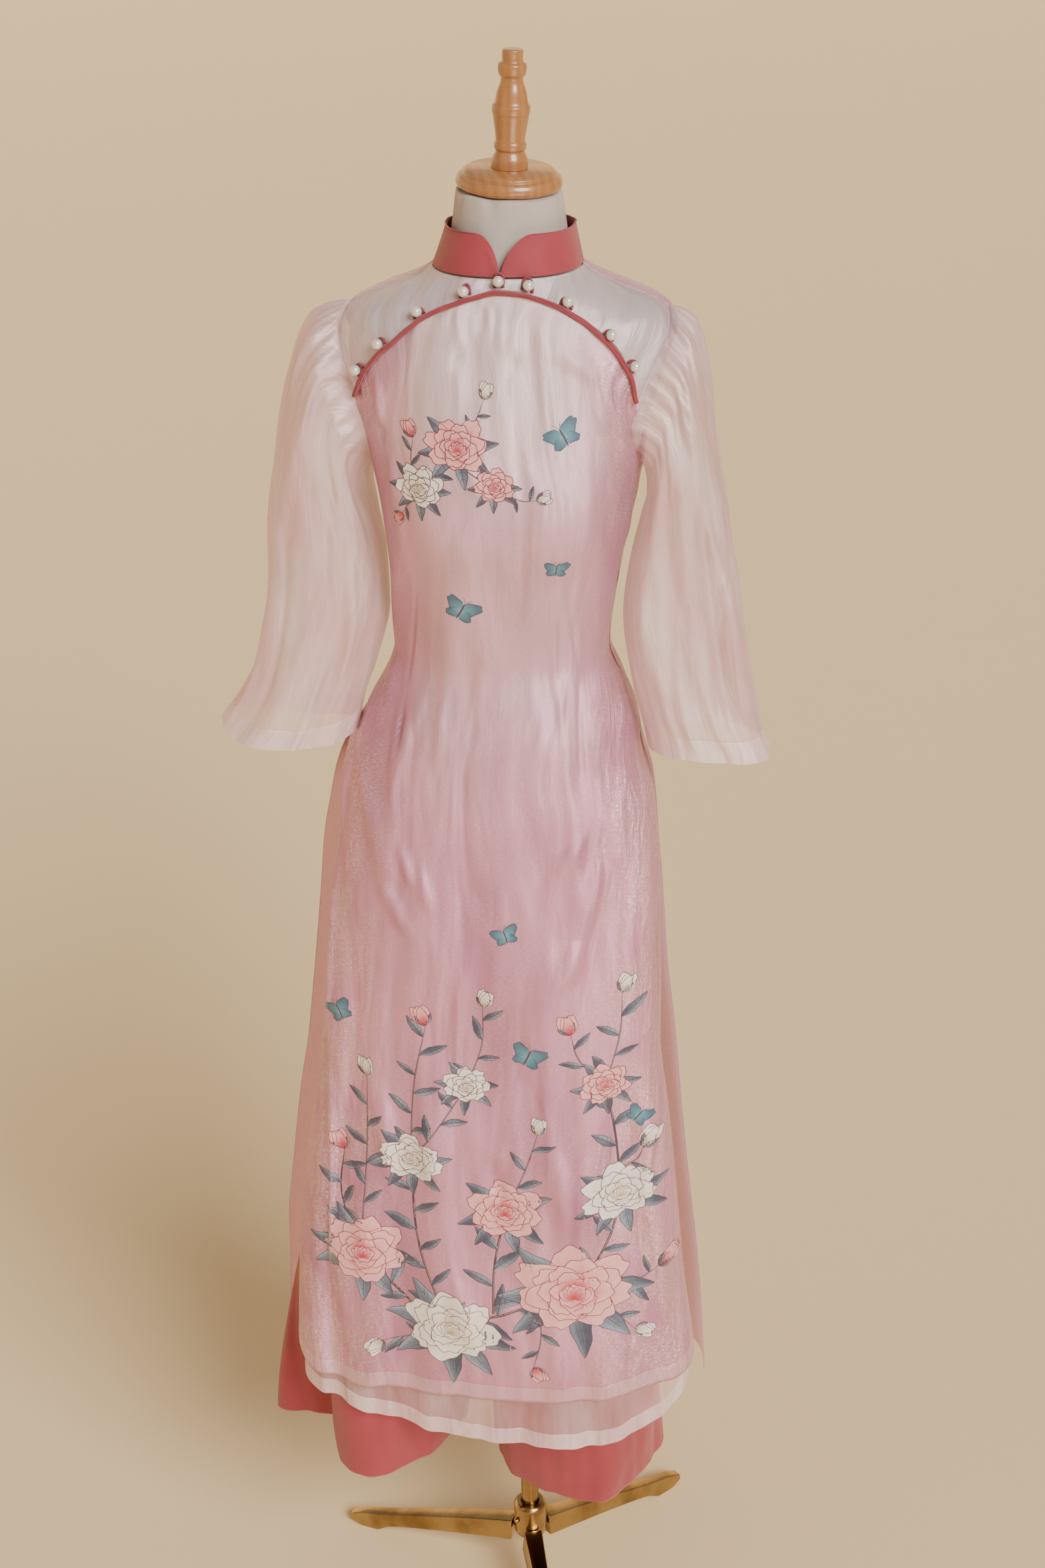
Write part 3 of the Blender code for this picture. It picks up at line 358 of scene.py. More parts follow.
def front_edge(down, side):
    """Degrees from the front centre to the front's edge, for places left (-) or right (+) of it."""
    armhole = ARMHOLE.at(down)
    at_armhole = (down > SHOULDER_TIP_DOWN) & (down < UNDERARM_DOWN)
    return np.where(at_armhole, np.where(side > 0, armhole.left, armhole.right), 90.0)


def back_edge(down):
    """Degrees from the back centre to the back's edge."""
    at_armhole = (down > SHOULDER_TIP_DOWN) & (down < UNDERARM_DOWN)
    return np.where(at_armhole, ARMHOLE.at(down).behind, 90.0)


def ripples(x, y, rows):
    """Sum of slanted sine waves: length in x, length in y, phase and height."""
    return sum(height * np.sin(2 * math.pi * (x / length_x + y / length_y) + phase)
               for length_x, length_y, phase, height in rows)


def hanging_ripples(x, z, rows, long_sway, short_sway):
    """Ripples that sway sideways on the way down, half as high above the waist as on the skirt."""
    sway = x + 6 * np.sin(z / long_sway) + 3 * np.sin(z / short_sway + x / 50)
    return ripples(sway, z, rows) * mix(0.45, 1.0, smooth(1250, 800, z))


def stroke_relief(x, z, rows):
    """Sum of tapered creases from one place to another, bowed sideways, each a soft ridge or trough."""
    total = np.zeros(np.broadcast(x, z).shape)
    for x0, z0, x1, z1, bow, width, height in rows:
        along = np.array([x1 - x0, z1 - z0], dtype=float)
        length = np.linalg.norm(along)
        along /= length
        share = ((x - x0) * along[0] + (z - z0) * along[1]) / length
        inside = np.clip(share, 0, 1)
        off = (z - z0) * along[0] - (x - x0) * along[1] - bow * 4 * inside * (1 - inside)
        past = (share - inside) * length
        spread = width * (0.55 + 0.45 * np.sin(math.pi * inside))
        total += height * np.sin(math.pi * np.clip(inside, 0.02, 0.98)) ** 0.7 * np.exp(
            -(off / spread) ** 2 - (past / width) ** 2)
    return total


# Creases seen from the front: from x, z to x, z, bow sideways, width and height outward
FRONT_CREASES = [
    (-39, 1543, -33, 1505, 0, 4, 1.2), (-33, 1505, -45, 1489, 0, 5, -1.5), (1, 1537, 1, 1506, 0, 3, 1),
    (-4, 1541, -3, 1514, 0, 3, -1), (-11, 1543, -9, 1524, 0, 3, 0.8), (-22, 1538, -25, 1513, 0, 3, 0.8),
    (14, 1502, 10, 1486, 0, 5, -1.2), (51, 1501, 87, 1471, 6, 8, 1.5), (87, 1471, 93, 1426, 0, 8, 1.5),
    (-115, 1475, -110, 1422, 0, 4, 1.8), (-110, 1433, -113, 1405, 0, 4, -1.5),
    (-104, 1400, -91, 1354, 0, 5, 1.5), (-110, 1394, -110, 1353, 0, 4, -1.5),
    (115, 1466, 117, 1411, 0, 4, -1.5), (105, 1449, 111, 1393, 0, 5, 1.5),
    (-101, 1397, -90, 1274, 0, 6, 2), (-100, 1321, -120, 1126, 0, 7, 2), (-60, 1164, -69, 1078, 0, 6, 1.5),
    (95, 1371, 98, 1249, 0, 5, -1.5), (-106, 1139, -113, 1043, 0, 4, 2), (-94, 1139, -102, 1096, 0, 4, 1.2),
    (-149, 1077, -125, 962, 5, 10, 3), (-125, 962, -95, 908, 0, 9, 2.5), (-106, 1005, -93, 963, 0, 5, 2),
    (-86, 988, -75, 936, 0, 6, 2), (-37, 966, -37, 905, 0, 4, 1), (-6, 970, -4, 919, 0, 4, 1),
    (74, 1022, 48, 981, 0, 8, 2), (90, 993, 71, 910, 0, 12, 3), (71, 910, 47, 853, 0, 12, 3),
    (108, 994, 106, 881, 0, 8, -2.5), (-156, 1120, -172, 990, 0, 3, 2.5), (-172, 990, -189, 770, 0, 3, 2.5),
    (-131, 718, -129, 634, 0, 10, 2.5), (-55, 514, -44, 422, 0, 14, 3), (-86, 720, -80, 611, 0, 10, 2),
    (-24, 662, -9, 604, 0, 8, -2), (43, 674, 57, 574, 0, 12, 2.5), (73, 672, 70, 546, 0, 8, 2),
    (120, 406, 126, 434, 0, 4, 1.5), (53, 365, 56, 405, 0, 4, 1.2),
    (-84, 1269, -99, 1156, 0, 2, -1.6), (-99, 1156, -114, 1059, 0, 2, -1.6),
    (59, 1286, 66, 1178, 0, 2, -1.6), (66, 1178, 72, 1068, 0, 2, -1.6),
    (-185, 760, -196, 480, 0, 3, 2.2), (128, 1040, 140, 760, 4, 9, 2.5), (-30, 880, -52, 640, -8, 20, -2.5),
    (20, 800, 8, 560, 5, 18, -2.0), (-190, 620, -176, 420, 0, 14, 2.5), (110, 760, 132, 470, 6, 16, -2.5),
    (10, 1380, 4, 1200, 3, 30, -1.6), (40, 1240, 30, 1040, 0, 26, 1.6), (-48, 1300, -56, 1180, 0, 18, 1.4),
]
BACK_CREASES = [
    (-60, 1470, -20, 1380, 8, 9, 1.5), (58, 1472, 22, 1376, -8, 9, 1.5), (0, 1440, 2, 1300, 0, 12, -1.5),
    (-88, 1330, -78, 1190, 4, 8, 1.8), (82, 1330, 70, 1190, -4, 8, 1.8), (-40, 1260, -52, 1120, 0, 10, -1.8),
    (40, 1262, 48, 1110, 0, 10, -1.8), (-120, 1060, -150, 800, 6, 14, 2.5), (60, 1070, 84, 780, -6, 16, 2.5),
    (-30, 1040, -44, 700, 5, 18, -2.5), (10, 900, 16, 520, 0, 16, 2.2), (-180, 760, -210, 420, 4, 14, 2.5),
    (120, 820, 140, 420, -5, 14, 2.5), (-96, 700, -104, 380, 0, 14, -2.2), (66, 640, 70, 360, 0, 12, -2.0),
]
# Creases of the collar beside its notch, seen from the front
COLLAR_CREASES = [
    (-13, 1588, -3, 1567, 1, 2.2, 0.9), (-8, 1582, -2, 1568, 0, 1.2, -0.8),
    (30, 1572, 44, 1596, 0, 6, 0.3), (-40, 1570, -52, 1592, 0, 6, 0.3),
]
# Soft ripples of each cloth: length across, length upwards, phase and height
FRONT_RIPPLES = [
    (120, 900, 0.3, 1.3), (-70, 520, 1.1, 1.0), (43, 380, 2.0, 0.6), (-27, 260, 0.7, 0.3),
    (19, 300, 2.9, 0.16),
]
UNDER_LAYER_RIPPLES = [(74, 600, 0.3, 2.2), (-41, 420, 1.0, 1.2), (23, 300, 2.0, 0.5)]
BACK_RIPPLES = [(110, 900, 0.8, 1.4), (-64, 500, 2.1, 1.0), (37, 380, 1.0, 0.5)]
YOKE_RIPPLES = [(38, 120, 0.2, 0.5), (-24, 90, 1.4, 0.35), (60, -80, 2.2, 0.5)]
SLEEVE_RIPPLES = [(70, 500, 0.4, 1.0), (-38, 380, 1.3, 0.7), (21, 300, 2.5, 0.35)]
LEG_RIPPLES = [
    (160, 900, 0.4, 2.4), (-95, 700, 1.9, 1.5), (60, 420, 3.1, 0.8), (-230, 300, 0.2, 1.2),
    (34, 260, 2.2, 0.4),
]
# Creases of each sleeve: from turn, down to turn, down, bow, width and height; 0 degrees is its outer edge
SLEEVE_CREASES = [
    (-70, 20, -40, 240, 8, 9, 3.5), (-40, 240, -28, 425, 0, 12, 4), (-100, 60, -84, 300, 6, 10, -3),
    (-84, 290, -70, 430, 0, 10, 3), (-20, 60, -10, 250, 4, 10, -2.5), (-120, 200, -110, 425, 5, 9, 3),
    (-58, 150, -62, 420, -5, 8, -3), (20, 90, 34, 330, 5, 10, 3), (60, 40, 70, 260, -5, 10, -3),
    (90, 160, 84, 425, 4, 10, 3.5), (120, 90, 126, 360, 0, 9, -2.5), (45, 300, 50, 430, 0, 9, 2.5),
    (-8, 320, -4, 430, 0, 8, 2.5), (-96, 330, -98, 432, 0, 6, 2.2),
]


def deselect():
    bpy.ops.object.select_all(action="DESELECT")


def in_edit_mode(select="SELECT"):
    bpy.ops.object.mode_set(mode="EDIT")
    bpy.ops.mesh.select_all(action=select)


def keep(piece, material, *nodes, slot, flat=None, area=None, held="draped", rests_on=()):
    """Give a finished piece its material, hide the solids that it stands for and attach it to the root."""
    piece.data.materials.clear()
    piece.data.materials.append(material)
    if nodes:
        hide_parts(*nodes)
    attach(piece, "root")
    return piece


def apply_modifier(piece, kind, **settings):
    """Add one modifier to a piece and apply it."""
    bpy.context.view_layer.objects.active = piece
    modifier = piece.modifiers.new(kind.lower(), kind)
    for name, value in settings.items():
        setattr(modifier, name, value)
    bpy.ops.object.modifier_apply(modifier=modifier.name)


def grid_normals(points, closed):
    """Unit normals of a grid of points, rows upwards and columns anticlockwise."""
    across = np.gradient(points, axis=1)
    if closed:
        across[:, 0] = across[:, -1] = (points[:, 1] - points[:, -2]) / 2
    return unit(np.cross(across, np.gradient(points, axis=0)))


def sheet(name, columns, rows, surface, relief=None, lift=CLOTH, wall=0.0, closed=False):
    """Grid laid on surface(across, up) in mm, lifted off it and creased by relief(across, up, points).

    Its UV map is in metres of cloth: along the cloth from the middle, and up from the hem. The attribute
    from_edge is how far a point lies from the nearer side edge.
    """
    deselect()
    bpy.ops.mesh.primitive_grid_add(x_subdivisions=columns, y_subdivisions=rows, size=2, calc_uvs=True)
    piece = bpy.context.object
    piece.name = piece.data.name = name
    mesh = piece.data
    flat = np.empty(len(mesh.vertices) * 3)
    mesh.vertices.foreach_get("co", flat)
    flat = flat.reshape(-1, 3)
    order = np.lexsort((flat[:, 0].round(5), flat[:, 1].round(5)))
    shape = (rows + 1, columns + 1)
    across = (flat[order, 0].reshape(shape) + 1) / 2
    up = (flat[order, 1].reshape(shape) + 1) / 2
    points = surface(across, up)
    normals = grid_normals(points, closed)
    height = np.full(shape, float(lift))
    if relief:
        height = height + relief(across, up, points)
    points = points + normals * height[..., None]
    along = np.linalg.norm(np.diff(points, axis=1), axis=2)
    u = np.concatenate([np.zeros((rows + 1, 1)), np.cumsum(along, axis=1)], axis=1)
    u -= u[:, columns // 2, None]
    climb = np.linalg.norm(np.diff(points, axis=0), axis=2)
    v = np.concatenate([np.zeros((1, columns + 1)), np.cumsum(climb, axis=0)], axis=0)
    flat[order] = points.reshape(-1, 3) * MM + POLE_AXIS
    mesh.vertices.foreach_set("co", flat.ravel())
    place = np.empty(len(order), dtype=int)
    place[order] = np.arange(len(order))
    corners = np.empty(len(mesh.loops), dtype=np.int32)
    mesh.loops.foreach_get("vertex_index", corners)
    cloth_uv = np.stack([u, v], axis=-1).reshape(-1, 2)[place[corners]] * MM
    mesh.uv_layers.active.data.foreach_set("uv", cloth_uv.ravel())
    from_edge = np.minimum(u - u[:, :1], u[:, -1:] - u).ravel() * MM
    mesh.attributes.new("from_edge", "FLOAT", "POINT").data.foreach_set("value", from_edge[place])
    mesh.update()
    if closed:
        in_edit_mode()
        bpy.ops.mesh.remove_doubles(threshold=0.00001)
        bpy.ops.object.mode_set(mode="OBJECT")
    if wall:
        apply_modifier(piece, "SOLIDIFY", thickness=wall * MM, offset=-1)
    bpy.ops.object.shade_smooth()
    return piece


def cord(name, path, radius, sides):
    """Round cord along a path of points in mm."""
    deselect()
    curve = bpy.data.curves.new(name, "CURVE")
    curve.dimensions = "3D"
    curve.bevel_depth = radius * MM
    curve.bevel_resolution = sides
    curve.use_fill_caps = True
    spline = curve.splines.new("POLY")
    spline.points.add(len(path) - 1)
    for target, point in zip(spline.points, path):
        target.co = (*(np.asarray(point) * MM + POLE_AXIS), 1)
    piece = bpy.data.objects.new(name, curve)
    bpy.context.scene.collection.objects.link(piece)
    bpy.context.view_layer.objects.active = piece
    piece.select_set(True)
    bpy.ops.object.convert(target="MESH")
    piece = bpy.context.object
    bpy.ops.object.shade_smooth()
    return piece


def turned(name, rows, segments=72, fine=4):
    """Solid turned on the pole's axis: a disc extruded and resized from row to row, top to bottom."""
    deselect()
    radius, z = rows[0]
    bpy.ops.mesh.primitive_circle_add(vertices=segments, radius=radius * MM, fill_type="NGON",
                                      location=(POLE_AXIS[0], POLE_AXIS[1], z * MM))
    piece = bpy.context.object
    piece.name = piece.data.name = name
    bpy.ops.object.transform_apply(location=True, rotation=True, scale=True)
    in_edit_mode()
    for i in range(len(rows) - 1):
        a, b, c, d = (rows[min(max(i + k, 0), len(rows) - 1)] for k in (-1, 0, 1, 2))
        steps = fine if math.dist(b, c) > 2 else 2
        for j in range(1, steps + 1):
            t = j / steps
            along = [0.5 * (2 * q + (r - p) * t + (2 * p - 5 * q + 4 * r - s) * t * t
                            + (3 * q - p - 3 * r + s) * t**3) if fine > 1 else q + (r - q) * t
                     for p, q, r, s in zip(a, b, c, d)]
            along[0] = min(max(along[0], min(b[0], c[0]) - 0.6), max(b[0], c[0]) + 0.6)
            bpy.ops.mesh.extrude_region_move(TRANSFORM_OT_translate={"value": (0, 0, (along[1] - z) * MM)})
            scale = along[0] / radius
            bpy.ops.transform.resize(value=(scale, scale, 1),
                                     center_override=(POLE_AXIS[0], POLE_AXIS[1], along[1] * MM))
            radius, z = along
    bpy.ops.mesh.select_all(action="SELECT")
    bpy.ops.mesh.normals_make_consistent(inside=False)
    bpy.ops.object.mode_set(mode="OBJECT")
    bpy.ops.object.shade_smooth_by_angle(angle=math.radians(35))
    return piece


def lean_about_neck(piece):
    """Tip a turned piece with the form's neck."""
    pivot = Vector((POLE_AXIS[0], POLE_AXIS[1], NECK_TOP_Z * MM))
    turn = Matrix.Rotation(LEAN, 4, "Y")
    piece.data.transform(Matrix.Translation(pivot) @ turn @ Matrix.Translation(-pivot))
    return piece


def copy_of_solid(node, name, levels):
    """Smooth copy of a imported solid: its loose triangles merged, paired into quads and subdivided."""
    deselect()
    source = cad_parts[node]
    piece = source.copy()
    piece.data = source.data.copy()
    piece.name = piece.data.name = name
    piece.hide_render = piece.hide_viewport = False
    bpy.context.scene.collection.objects.link(piece)
    piece.parent = None
    piece.matrix_world = source.matrix_world.copy()
    bpy.context.view_layer.objects.active = piece
    piece.select_set(True)
    in_edit_mode()
    bpy.ops.mesh.remove_doubles(threshold=0.00001)
    bpy.ops.mesh.tris_convert_to_quads(face_threshold=math.radians(40), shape_threshold=math.radians(60))
    bpy.ops.object.mode_set(mode="OBJECT")
    if levels:
        apply_modifier(piece, "SUBSURF", levels=levels, render_levels=levels)
    bpy.ops.object.shade_smooth_by_angle(angle=math.radians(50))
    return piece


def placed_copy(piece, name, place):
    """Copy of a piece with its own mesh, moved to its place by a matrix."""
    copy = piece.copy()
    copy.data = piece.data.copy()
    copy.name = copy.data.name = name
    copy.data.transform(place)
    bpy.context.scene.collection.objects.link(copy)
    return copy


class Wire:
    """A number, vector or colour that flows between shader nodes, with arithmetic."""

    def __init__(self, paint, socket):
        self.paint = paint
        self.socket = socket

    def __add__(self, other):
        return self.paint.math("ADD", self, other)

    __radd__ = __add__

    def __sub__(self, other):
        return self.paint.math("SUBTRACT", self, other)

    def __rsub__(self, other):
        return self.paint.math("SUBTRACT", other, self)

    def __mul__(self, other):
        return self.paint.math("MULTIPLY", self, other)

    __rmul__ = __mul__

    def __truediv__(self, other):
        return self.paint.math("DIVIDE", self, other)


class Paint:
    """Procedural material round one Principled BSDF."""

    def __init__(self, name, **constants):
        self.material = bpy.data.materials.new(name)
        self.material.use_nodes = True
        self.tree = self.material.node_tree
        self.shader = self.tree.nodes["Principled BSDF"]
        self.set(**constants)

    def set(self, **values):
        """Give the shader's inputs values or wires, their names with underscores for spaces."""
        for name, value in values.items():
            self.feed(self.shader.inputs[name.replace("_", " ")], value)

    def feed(self, socket, value):
        """Link a wire to a socket, or set the socket to a constant."""
        if isinstance(value, Wire):
            self.tree.links.new(value.socket, socket)
        elif socket.type == "RGBA" and len(value) == 3:
            socket.default_value = (*value, 1.0)
        else:
            socket.default_value = value

    def node(self, kind, settings, inputs, output=0):
        """Add one shader node and return one of its outputs."""
        made = self.tree.nodes.new("ShaderNode" + kind)
        for name, value in settings.items():
            setattr(made, name, value)
        for name, value in inputs.items():
            self.feed(made.inputs[name], value)
        return Wire(self, made.outputs[output])

    def math(self, operation, a, b=0.0):
        return self.node("Math", {"operation": operation}, {0: a, 1: b})

    def vector(self, x=0.0, y=0.0, z=0.0):
        return self.node("CombineXYZ", {}, {"X": x, "Y": y, "Z": z})

    def parts(self, vector):
        return [self.node("SeparateXYZ", {}, {"Vector": vector}, axis) for axis in ("X", "Y", "Z")]

    def cloth_place(self):
        """Metres along the cloth and up from its hem."""
        return self.parts(self.node("TexCoord", {}, {}, "UV"))[:2]

    def place(self):
        """Place in metres in the piece's own space."""
        return self.node("TexCoord", {}, {}, "Object")

    def noise(self, vector, scale=1.0, detail=2.0, roughness=0.5, distortion=0.0):
        """Grey value of a noise texture."""
        return self.node("TexNoise", {}, {"Vector": vector, "Scale": scale, "Detail": detail,
                                          "Roughness": roughness, "Distortion": distortion}, 0)

    def stretched(self, parts, scales, detail=2.0, roughness=0.5, distortion=0.0):
        """Noise with a scale of its own along each axis."""
        vector = self.vector(*(part * scale for part, scale in zip(parts, scales)))
        return self.noise(vector, 1.0, detail, roughness, distortion)

    def step(self, value, low, high):
        """0 at low, 1 at high, smooth between."""
        return self.node("MapRange", {"interpolation_type": "SMOOTHSTEP"},
                         {"Value": value, "From Min": low, "From Max": high})

    def stripe(self, value, place, low, high):
        """1 where a value is nearer than low to a place, 0 from high on, smooth between."""
        return 1.0 - self.step(self.math("ABSOLUTE", value - place), low, high)

    def blend(self, share, a, b):
        """Colour a at share 0, b at share 1."""
        return self.node("Mix", {"data_type": "RGBA"}, {0: share, 6: a, 7: b}, 2)

    def bump(self, height, strength):
        """Normal from a height in metres."""
        return self.node("Bump", {}, {"Height": height, "Strength": strength, "Distance": 1.0})


def weave_height(paint, u, v, thread=0.00045, depth=0.00004):
    """Height in metres of a fine plain weave with uneven threads."""
    slub = paint.stretched((u, v), (90.0, 90.0), 2.0)
    warp = paint.math("SINE", u * (2 * math.pi / thread) + slub * 6.0)
    weft = paint.math("SINE", v * (2 * math.pi / thread) + slub * 6.0)
    return (warp * weft) * depth


# Materials: hem and stitch in metres, and the neck's seam in radians round the pole
HEM_FOLD = 0.020
STITCH_LENGTH = 0.0034
FORM_SEAM_TURN = -0.42


def shimmer_satin(name, settings, chest=True, sheer=0.12, gloss=0.42, unlined=0.0):
    """Pink organza over satin, with pale glints in short horizontal dashes.

    Below the waist the satin stops short of the side edges by the unlined width, in metres.
    """
    paint = Paint(name, Sheen_Weight=0.08, Sheen_Roughness=0.4, Sheen_Tint=(0.95, 0.75, 0.78),
                  Specular_IOR_Level=0.6, Subsurface_Weight=sheer, Subsurface_Radius=(1.0, 0.6, 0.6),
                  Subsurface_Scale=0.004)
    u, v = paint.cloth_place()
    x, y, z = paint.parts(paint.place())
    # Random mauve patches: partly the cloth's uneven tone, partly painted shade.
    patches = paint.stretched((u, v), (9.0, 3.2), 3.0, 0.55)
    colour = paint.blend(paint.step(patches, 0.36, 0.66), settings.satin, settings.satin_shade)
    # Paler in a band down the centre above the waist, most over the chest: partly the light form seen through
    # the sheer cloth, partly a painted highlight.
    if chest:
        high = paint.step(z, 1.33, 1.47)
        waist = paint.step(z, 1.00, 1.18)
        centre = paint.stripe(u, 0.012, 0.04, 0.155)
        colour = paint.blend((high * 0.45 + waist * 0.32) * centre, colour, settings.satin_pale_and_highlight)
    side = paint.step(paint.math("ABSOLUTE", u), 0.085, 0.17)
    clouds = paint.stretched((u, v), (26.0, 16.0), 2.0)
    dashes = paint.stretched((u, v), (210.0, 1250.0), 1.0)
    glint = paint.step(dashes, 0.50, 0.61) * paint.step(clouds, 0.32, 0.56) * (side * 0.80 + 0.20)
    colour = paint.blend(glint * 0.85, colour, settings.glint)
    hem = 1.0 - paint.step(v, HEM_FOLD - 0.0004, HEM_FOLD + 0.0004)
    seam = paint.stripe(v, HEM_FOLD, 0.0003, 0.0009)
    colour = paint.blend(hem * 0.35, colour, settings.hem)
    colour = paint.blend(seam * 0.35, colour, settings.satin_shade)
    if unlined:
        edge = paint.node("Attribute", {"attribute_name": "from_edge"}, {}, "Fac")
        single = (1.0 - paint.step(edge, unlined - 0.004, unlined)) * (1.0 - paint.step(z, 1.0, 1.1))
        colour = paint.blend(single * (1.0 - glint * 0.4), colour, settings.margin)
        paint.set(Alpha=1.0 - single * 0.45)
        lit_through = paint.node("BsdfTranslucent", {}, {"Color": settings.margin})
        surface = paint.node("MixShader", {}, {0: single * 0.6, 1: Wire(paint, paint.shader.outputs[0]),
                                               2: lit_through})
        paint.feed(paint.tree.nodes["Material Output"].inputs["Surface"], surface)
    broad = paint.stretched((u, v), (20.0, 4.5), 2.0, 0.5, 0.6)
    fine = paint.stretched((u, v), (85.0, 17.0), 3.0, 0.6, 0.8)
    height = (weave_height(paint, u, v) + broad * 0.012 + fine * (side * 0.0019 + 0.0008) + glint * 0.00005
              - seam * 0.0002)
    paint.set(Base_Color=colour, Metallic=glint * 0.3 + gloss, Roughness=0.33 - glint * 0.08,
              Normal=paint.bump(height, 0.9))
    return paint.material


def sheer_organza(name, colour, pale, alpha, hem_width=0.0, hem_alpha=0.9):
    """See-through organza with painted highlights in paler clouds, denser where its hem is folded double."""
    paint = Paint(name, Sheen_Weight=0.12, Sheen_Roughness=0.35, Sheen_Tint=(1.0, 0.93, 0.9),
                  Specular_IOR_Level=0.45)
    u, v = paint.cloth_place()
    # Paler clouds at random are painted highlights; the pale band at the hem is the cloth folded double.
    clouds = paint.stretched((u, v), (16.0, 5.0), 3.0, 0.55)
    shade = paint.blend(paint.step(clouds, 0.35, 0.68), colour, pale)
    broad = paint.stretched((u, v), (24.0, 5.0), 2.0, 0.5, 0.5)
    fine = paint.stretched((u, v), (90.0, 16.0), 3.0, 0.6, 0.6)
    height = weave_height(paint, u, v, 0.0005, 0.00003) + broad * 0.013 + fine * 0.0020
    veil = clouds * 0.16 + (alpha - 0.08)
    if hem_width:
        hem = 1.0 - paint.step(v, hem_width - 0.0006, hem_width)
        veil = veil + hem * (hem_alpha - alpha)
        edge = paint.stripe(v, hem_width, 0.0002, 0.0008)
        shade = paint.blend(hem * 0.4, shade, pale)
        height = height + hem * 0.0002 - edge * 0.0002
    paint.set(Base_Color=shade, Roughness=0.32, Metallic=0.3, Alpha=veil, Normal=paint.bump(height, 0.9))
    return paint.material


def coral_cloth(name, settings, hem=0.0):
    """Matte satin in dusty coral, with a row of stitches above the hem where there is one."""
    paint = Paint(name, Sheen_Weight=0.3, Sheen_Roughness=0.5, Sheen_Tint=(1.0, 0.7, 0.68),
                  Specular_IOR_Level=0.35)
    u, v = paint.cloth_place()
    clouds = paint.stretched((u, v), (12.0, 7.0), 3.0, 0.6)
    colour = paint.blend(paint.step(clouds, 0.32, 0.7), settings.coral, settings.coral_shade)
    wrinkles = paint.stretched((u, v), (38.0, 24.0), 4.0, 0.6)
    broad = paint.stretched((u, v), (11.0, 5.0), 2.0, 0.5, 0.4)
    height = weave_height(paint, u, v, 0.0004, 0.00003) + wrinkles * 0.0007 + broad * 0.008
    if hem:
        beat = paint.math("FRACT", u / STITCH_LENGTH)
        stitch = paint.step(beat, 0.10, 0.18) * (1.0 - paint.step(beat, 0.72, 0.8))
        line = paint.stripe(v, hem, 0.00025, 0.0007)
        colour = paint.blend(line * (stitch * 0.5 + 0.15), colour, settings.coral_thread)
        height = height + line * (stitch * 0.0003 - 0.0003)
    paint.set(Base_Color=colour, Roughness=clouds * 0.12 + 0.5, Normal=paint.bump(height, 0.8))
    return paint.material


def pearl_coat(settings):
    """Glossy cream nacre, faintly clouded."""
    paint = Paint("pearl_coat", Coat_Weight=1.0, Coat_Roughness=0.03, Roughness=0.22, Metallic=0.25,
                  Specular_IOR_Level=0.7)
    place = paint.place()
    cloud = paint.noise(place, 160.0, 2.0)
    paint.set(Base_Color=paint.blend(cloud, settings.pearl, settings.pearl_shade),
              Normal=paint.bump(paint.noise(place, 900.0, 2.0) * 0.00002, 0.5))
    return paint.material


def form_cover(settings):
    """Light jersey stretched over the form, with a fine knit and a seam down the neck."""
    paint = Paint("form_cover", Roughness=0.85, Sheen_Weight=0.2, Sheen_Roughness=0.5)
    place = paint.place()
    x, y, z = paint.parts(place)
    cloud = paint.noise(place, 22.0, 3.0)
    colour = paint.blend(cloud * 0.5, settings.form, settings.form_shade)
    turn = paint.math("ARCTAN2", y - float(POLE_AXIS[1]), x - float(POLE_AXIS[0]))
    seam = paint.stripe(turn, FORM_SEAM_TURN, 0.004, 0.02)
    colour = paint.blend(seam * 0.45, colour, settings.form_seam)
    knit = paint.math("SINE", z * 5200.0) * paint.math("SINE", turn * 420.0)
    height = knit * 0.00004 - seam * 0.0006 + cloud * 0.0004
    paint.set(Base_Color=colour, Normal=paint.bump(height, 0.7))
    return paint.material


def varnished_wood(settings):
    """Light turned wood under clear varnish, with rings round the axis and stretched grain."""
    paint = Paint("varnished_wood", Coat_Weight=0.7, Coat_Roughness=0.12, Specular_IOR_Level=0.5)
    x, y, z = paint.parts(paint.place())
    bend = paint.stretched((x, y, z), (14.0, 14.0, 3.0), 3.0)
    rings = paint.math("SINE", (x + y * 0.35) * 700.0 + bend * 16.0) * 0.5 + 0.5
    fibre = paint.stretched((x, y, z), (900.0, 900.0, 45.0), 3.0, 0.6)
    colour = paint.blend(rings * 0.55, settings.wood, settings.wood_dark)
    colour = paint.blend(paint.step(fibre, 0.5, 0.72) * 0.5, colour, settings.wood_pore)
    paint.set(Base_Color=colour, Roughness=fibre * 0.15 + 0.28,
              Normal=paint.bump(rings * 0.00008 + fibre * 0.00006, 0.6))
    return paint.material


def polished_brass(settings):
    """Polished brass, a little smoked and finely scratched."""
    paint = Paint("polished_brass", Metallic=1.0)
    place = paint.place()
    x, y, z = paint.parts(place)
    cloud = paint.noise(place, 26.0, 3.0)
    scratch = paint.stretched((x, y, z), (240.0, 240.0, 1800.0), 2.0)
    colour = paint.blend(paint.step(cloud, 0.35, 0.7), settings.brass, settings.brass_shade)
    paint.set(Base_Color=colour, Roughness=cloud * 0.14 + scratch * 0.08 + 0.10,
              Normal=paint.bump(cloud * 0.0004 + scratch * 0.00002, 0.4))
    return paint.material


def studio_paper(colour):
    """Matte paper with faint clouds."""
    paint = Paint("studio_paper", Roughness=0.9, Specular_IOR_Level=0.1)
    cloud = paint.noise(paint.place(), 1.4, 2.0)
    paint.set(Base_Color=paint.blend(cloud * 0.25, colour, [channel * 0.93 for channel in colour]))
    return paint.material


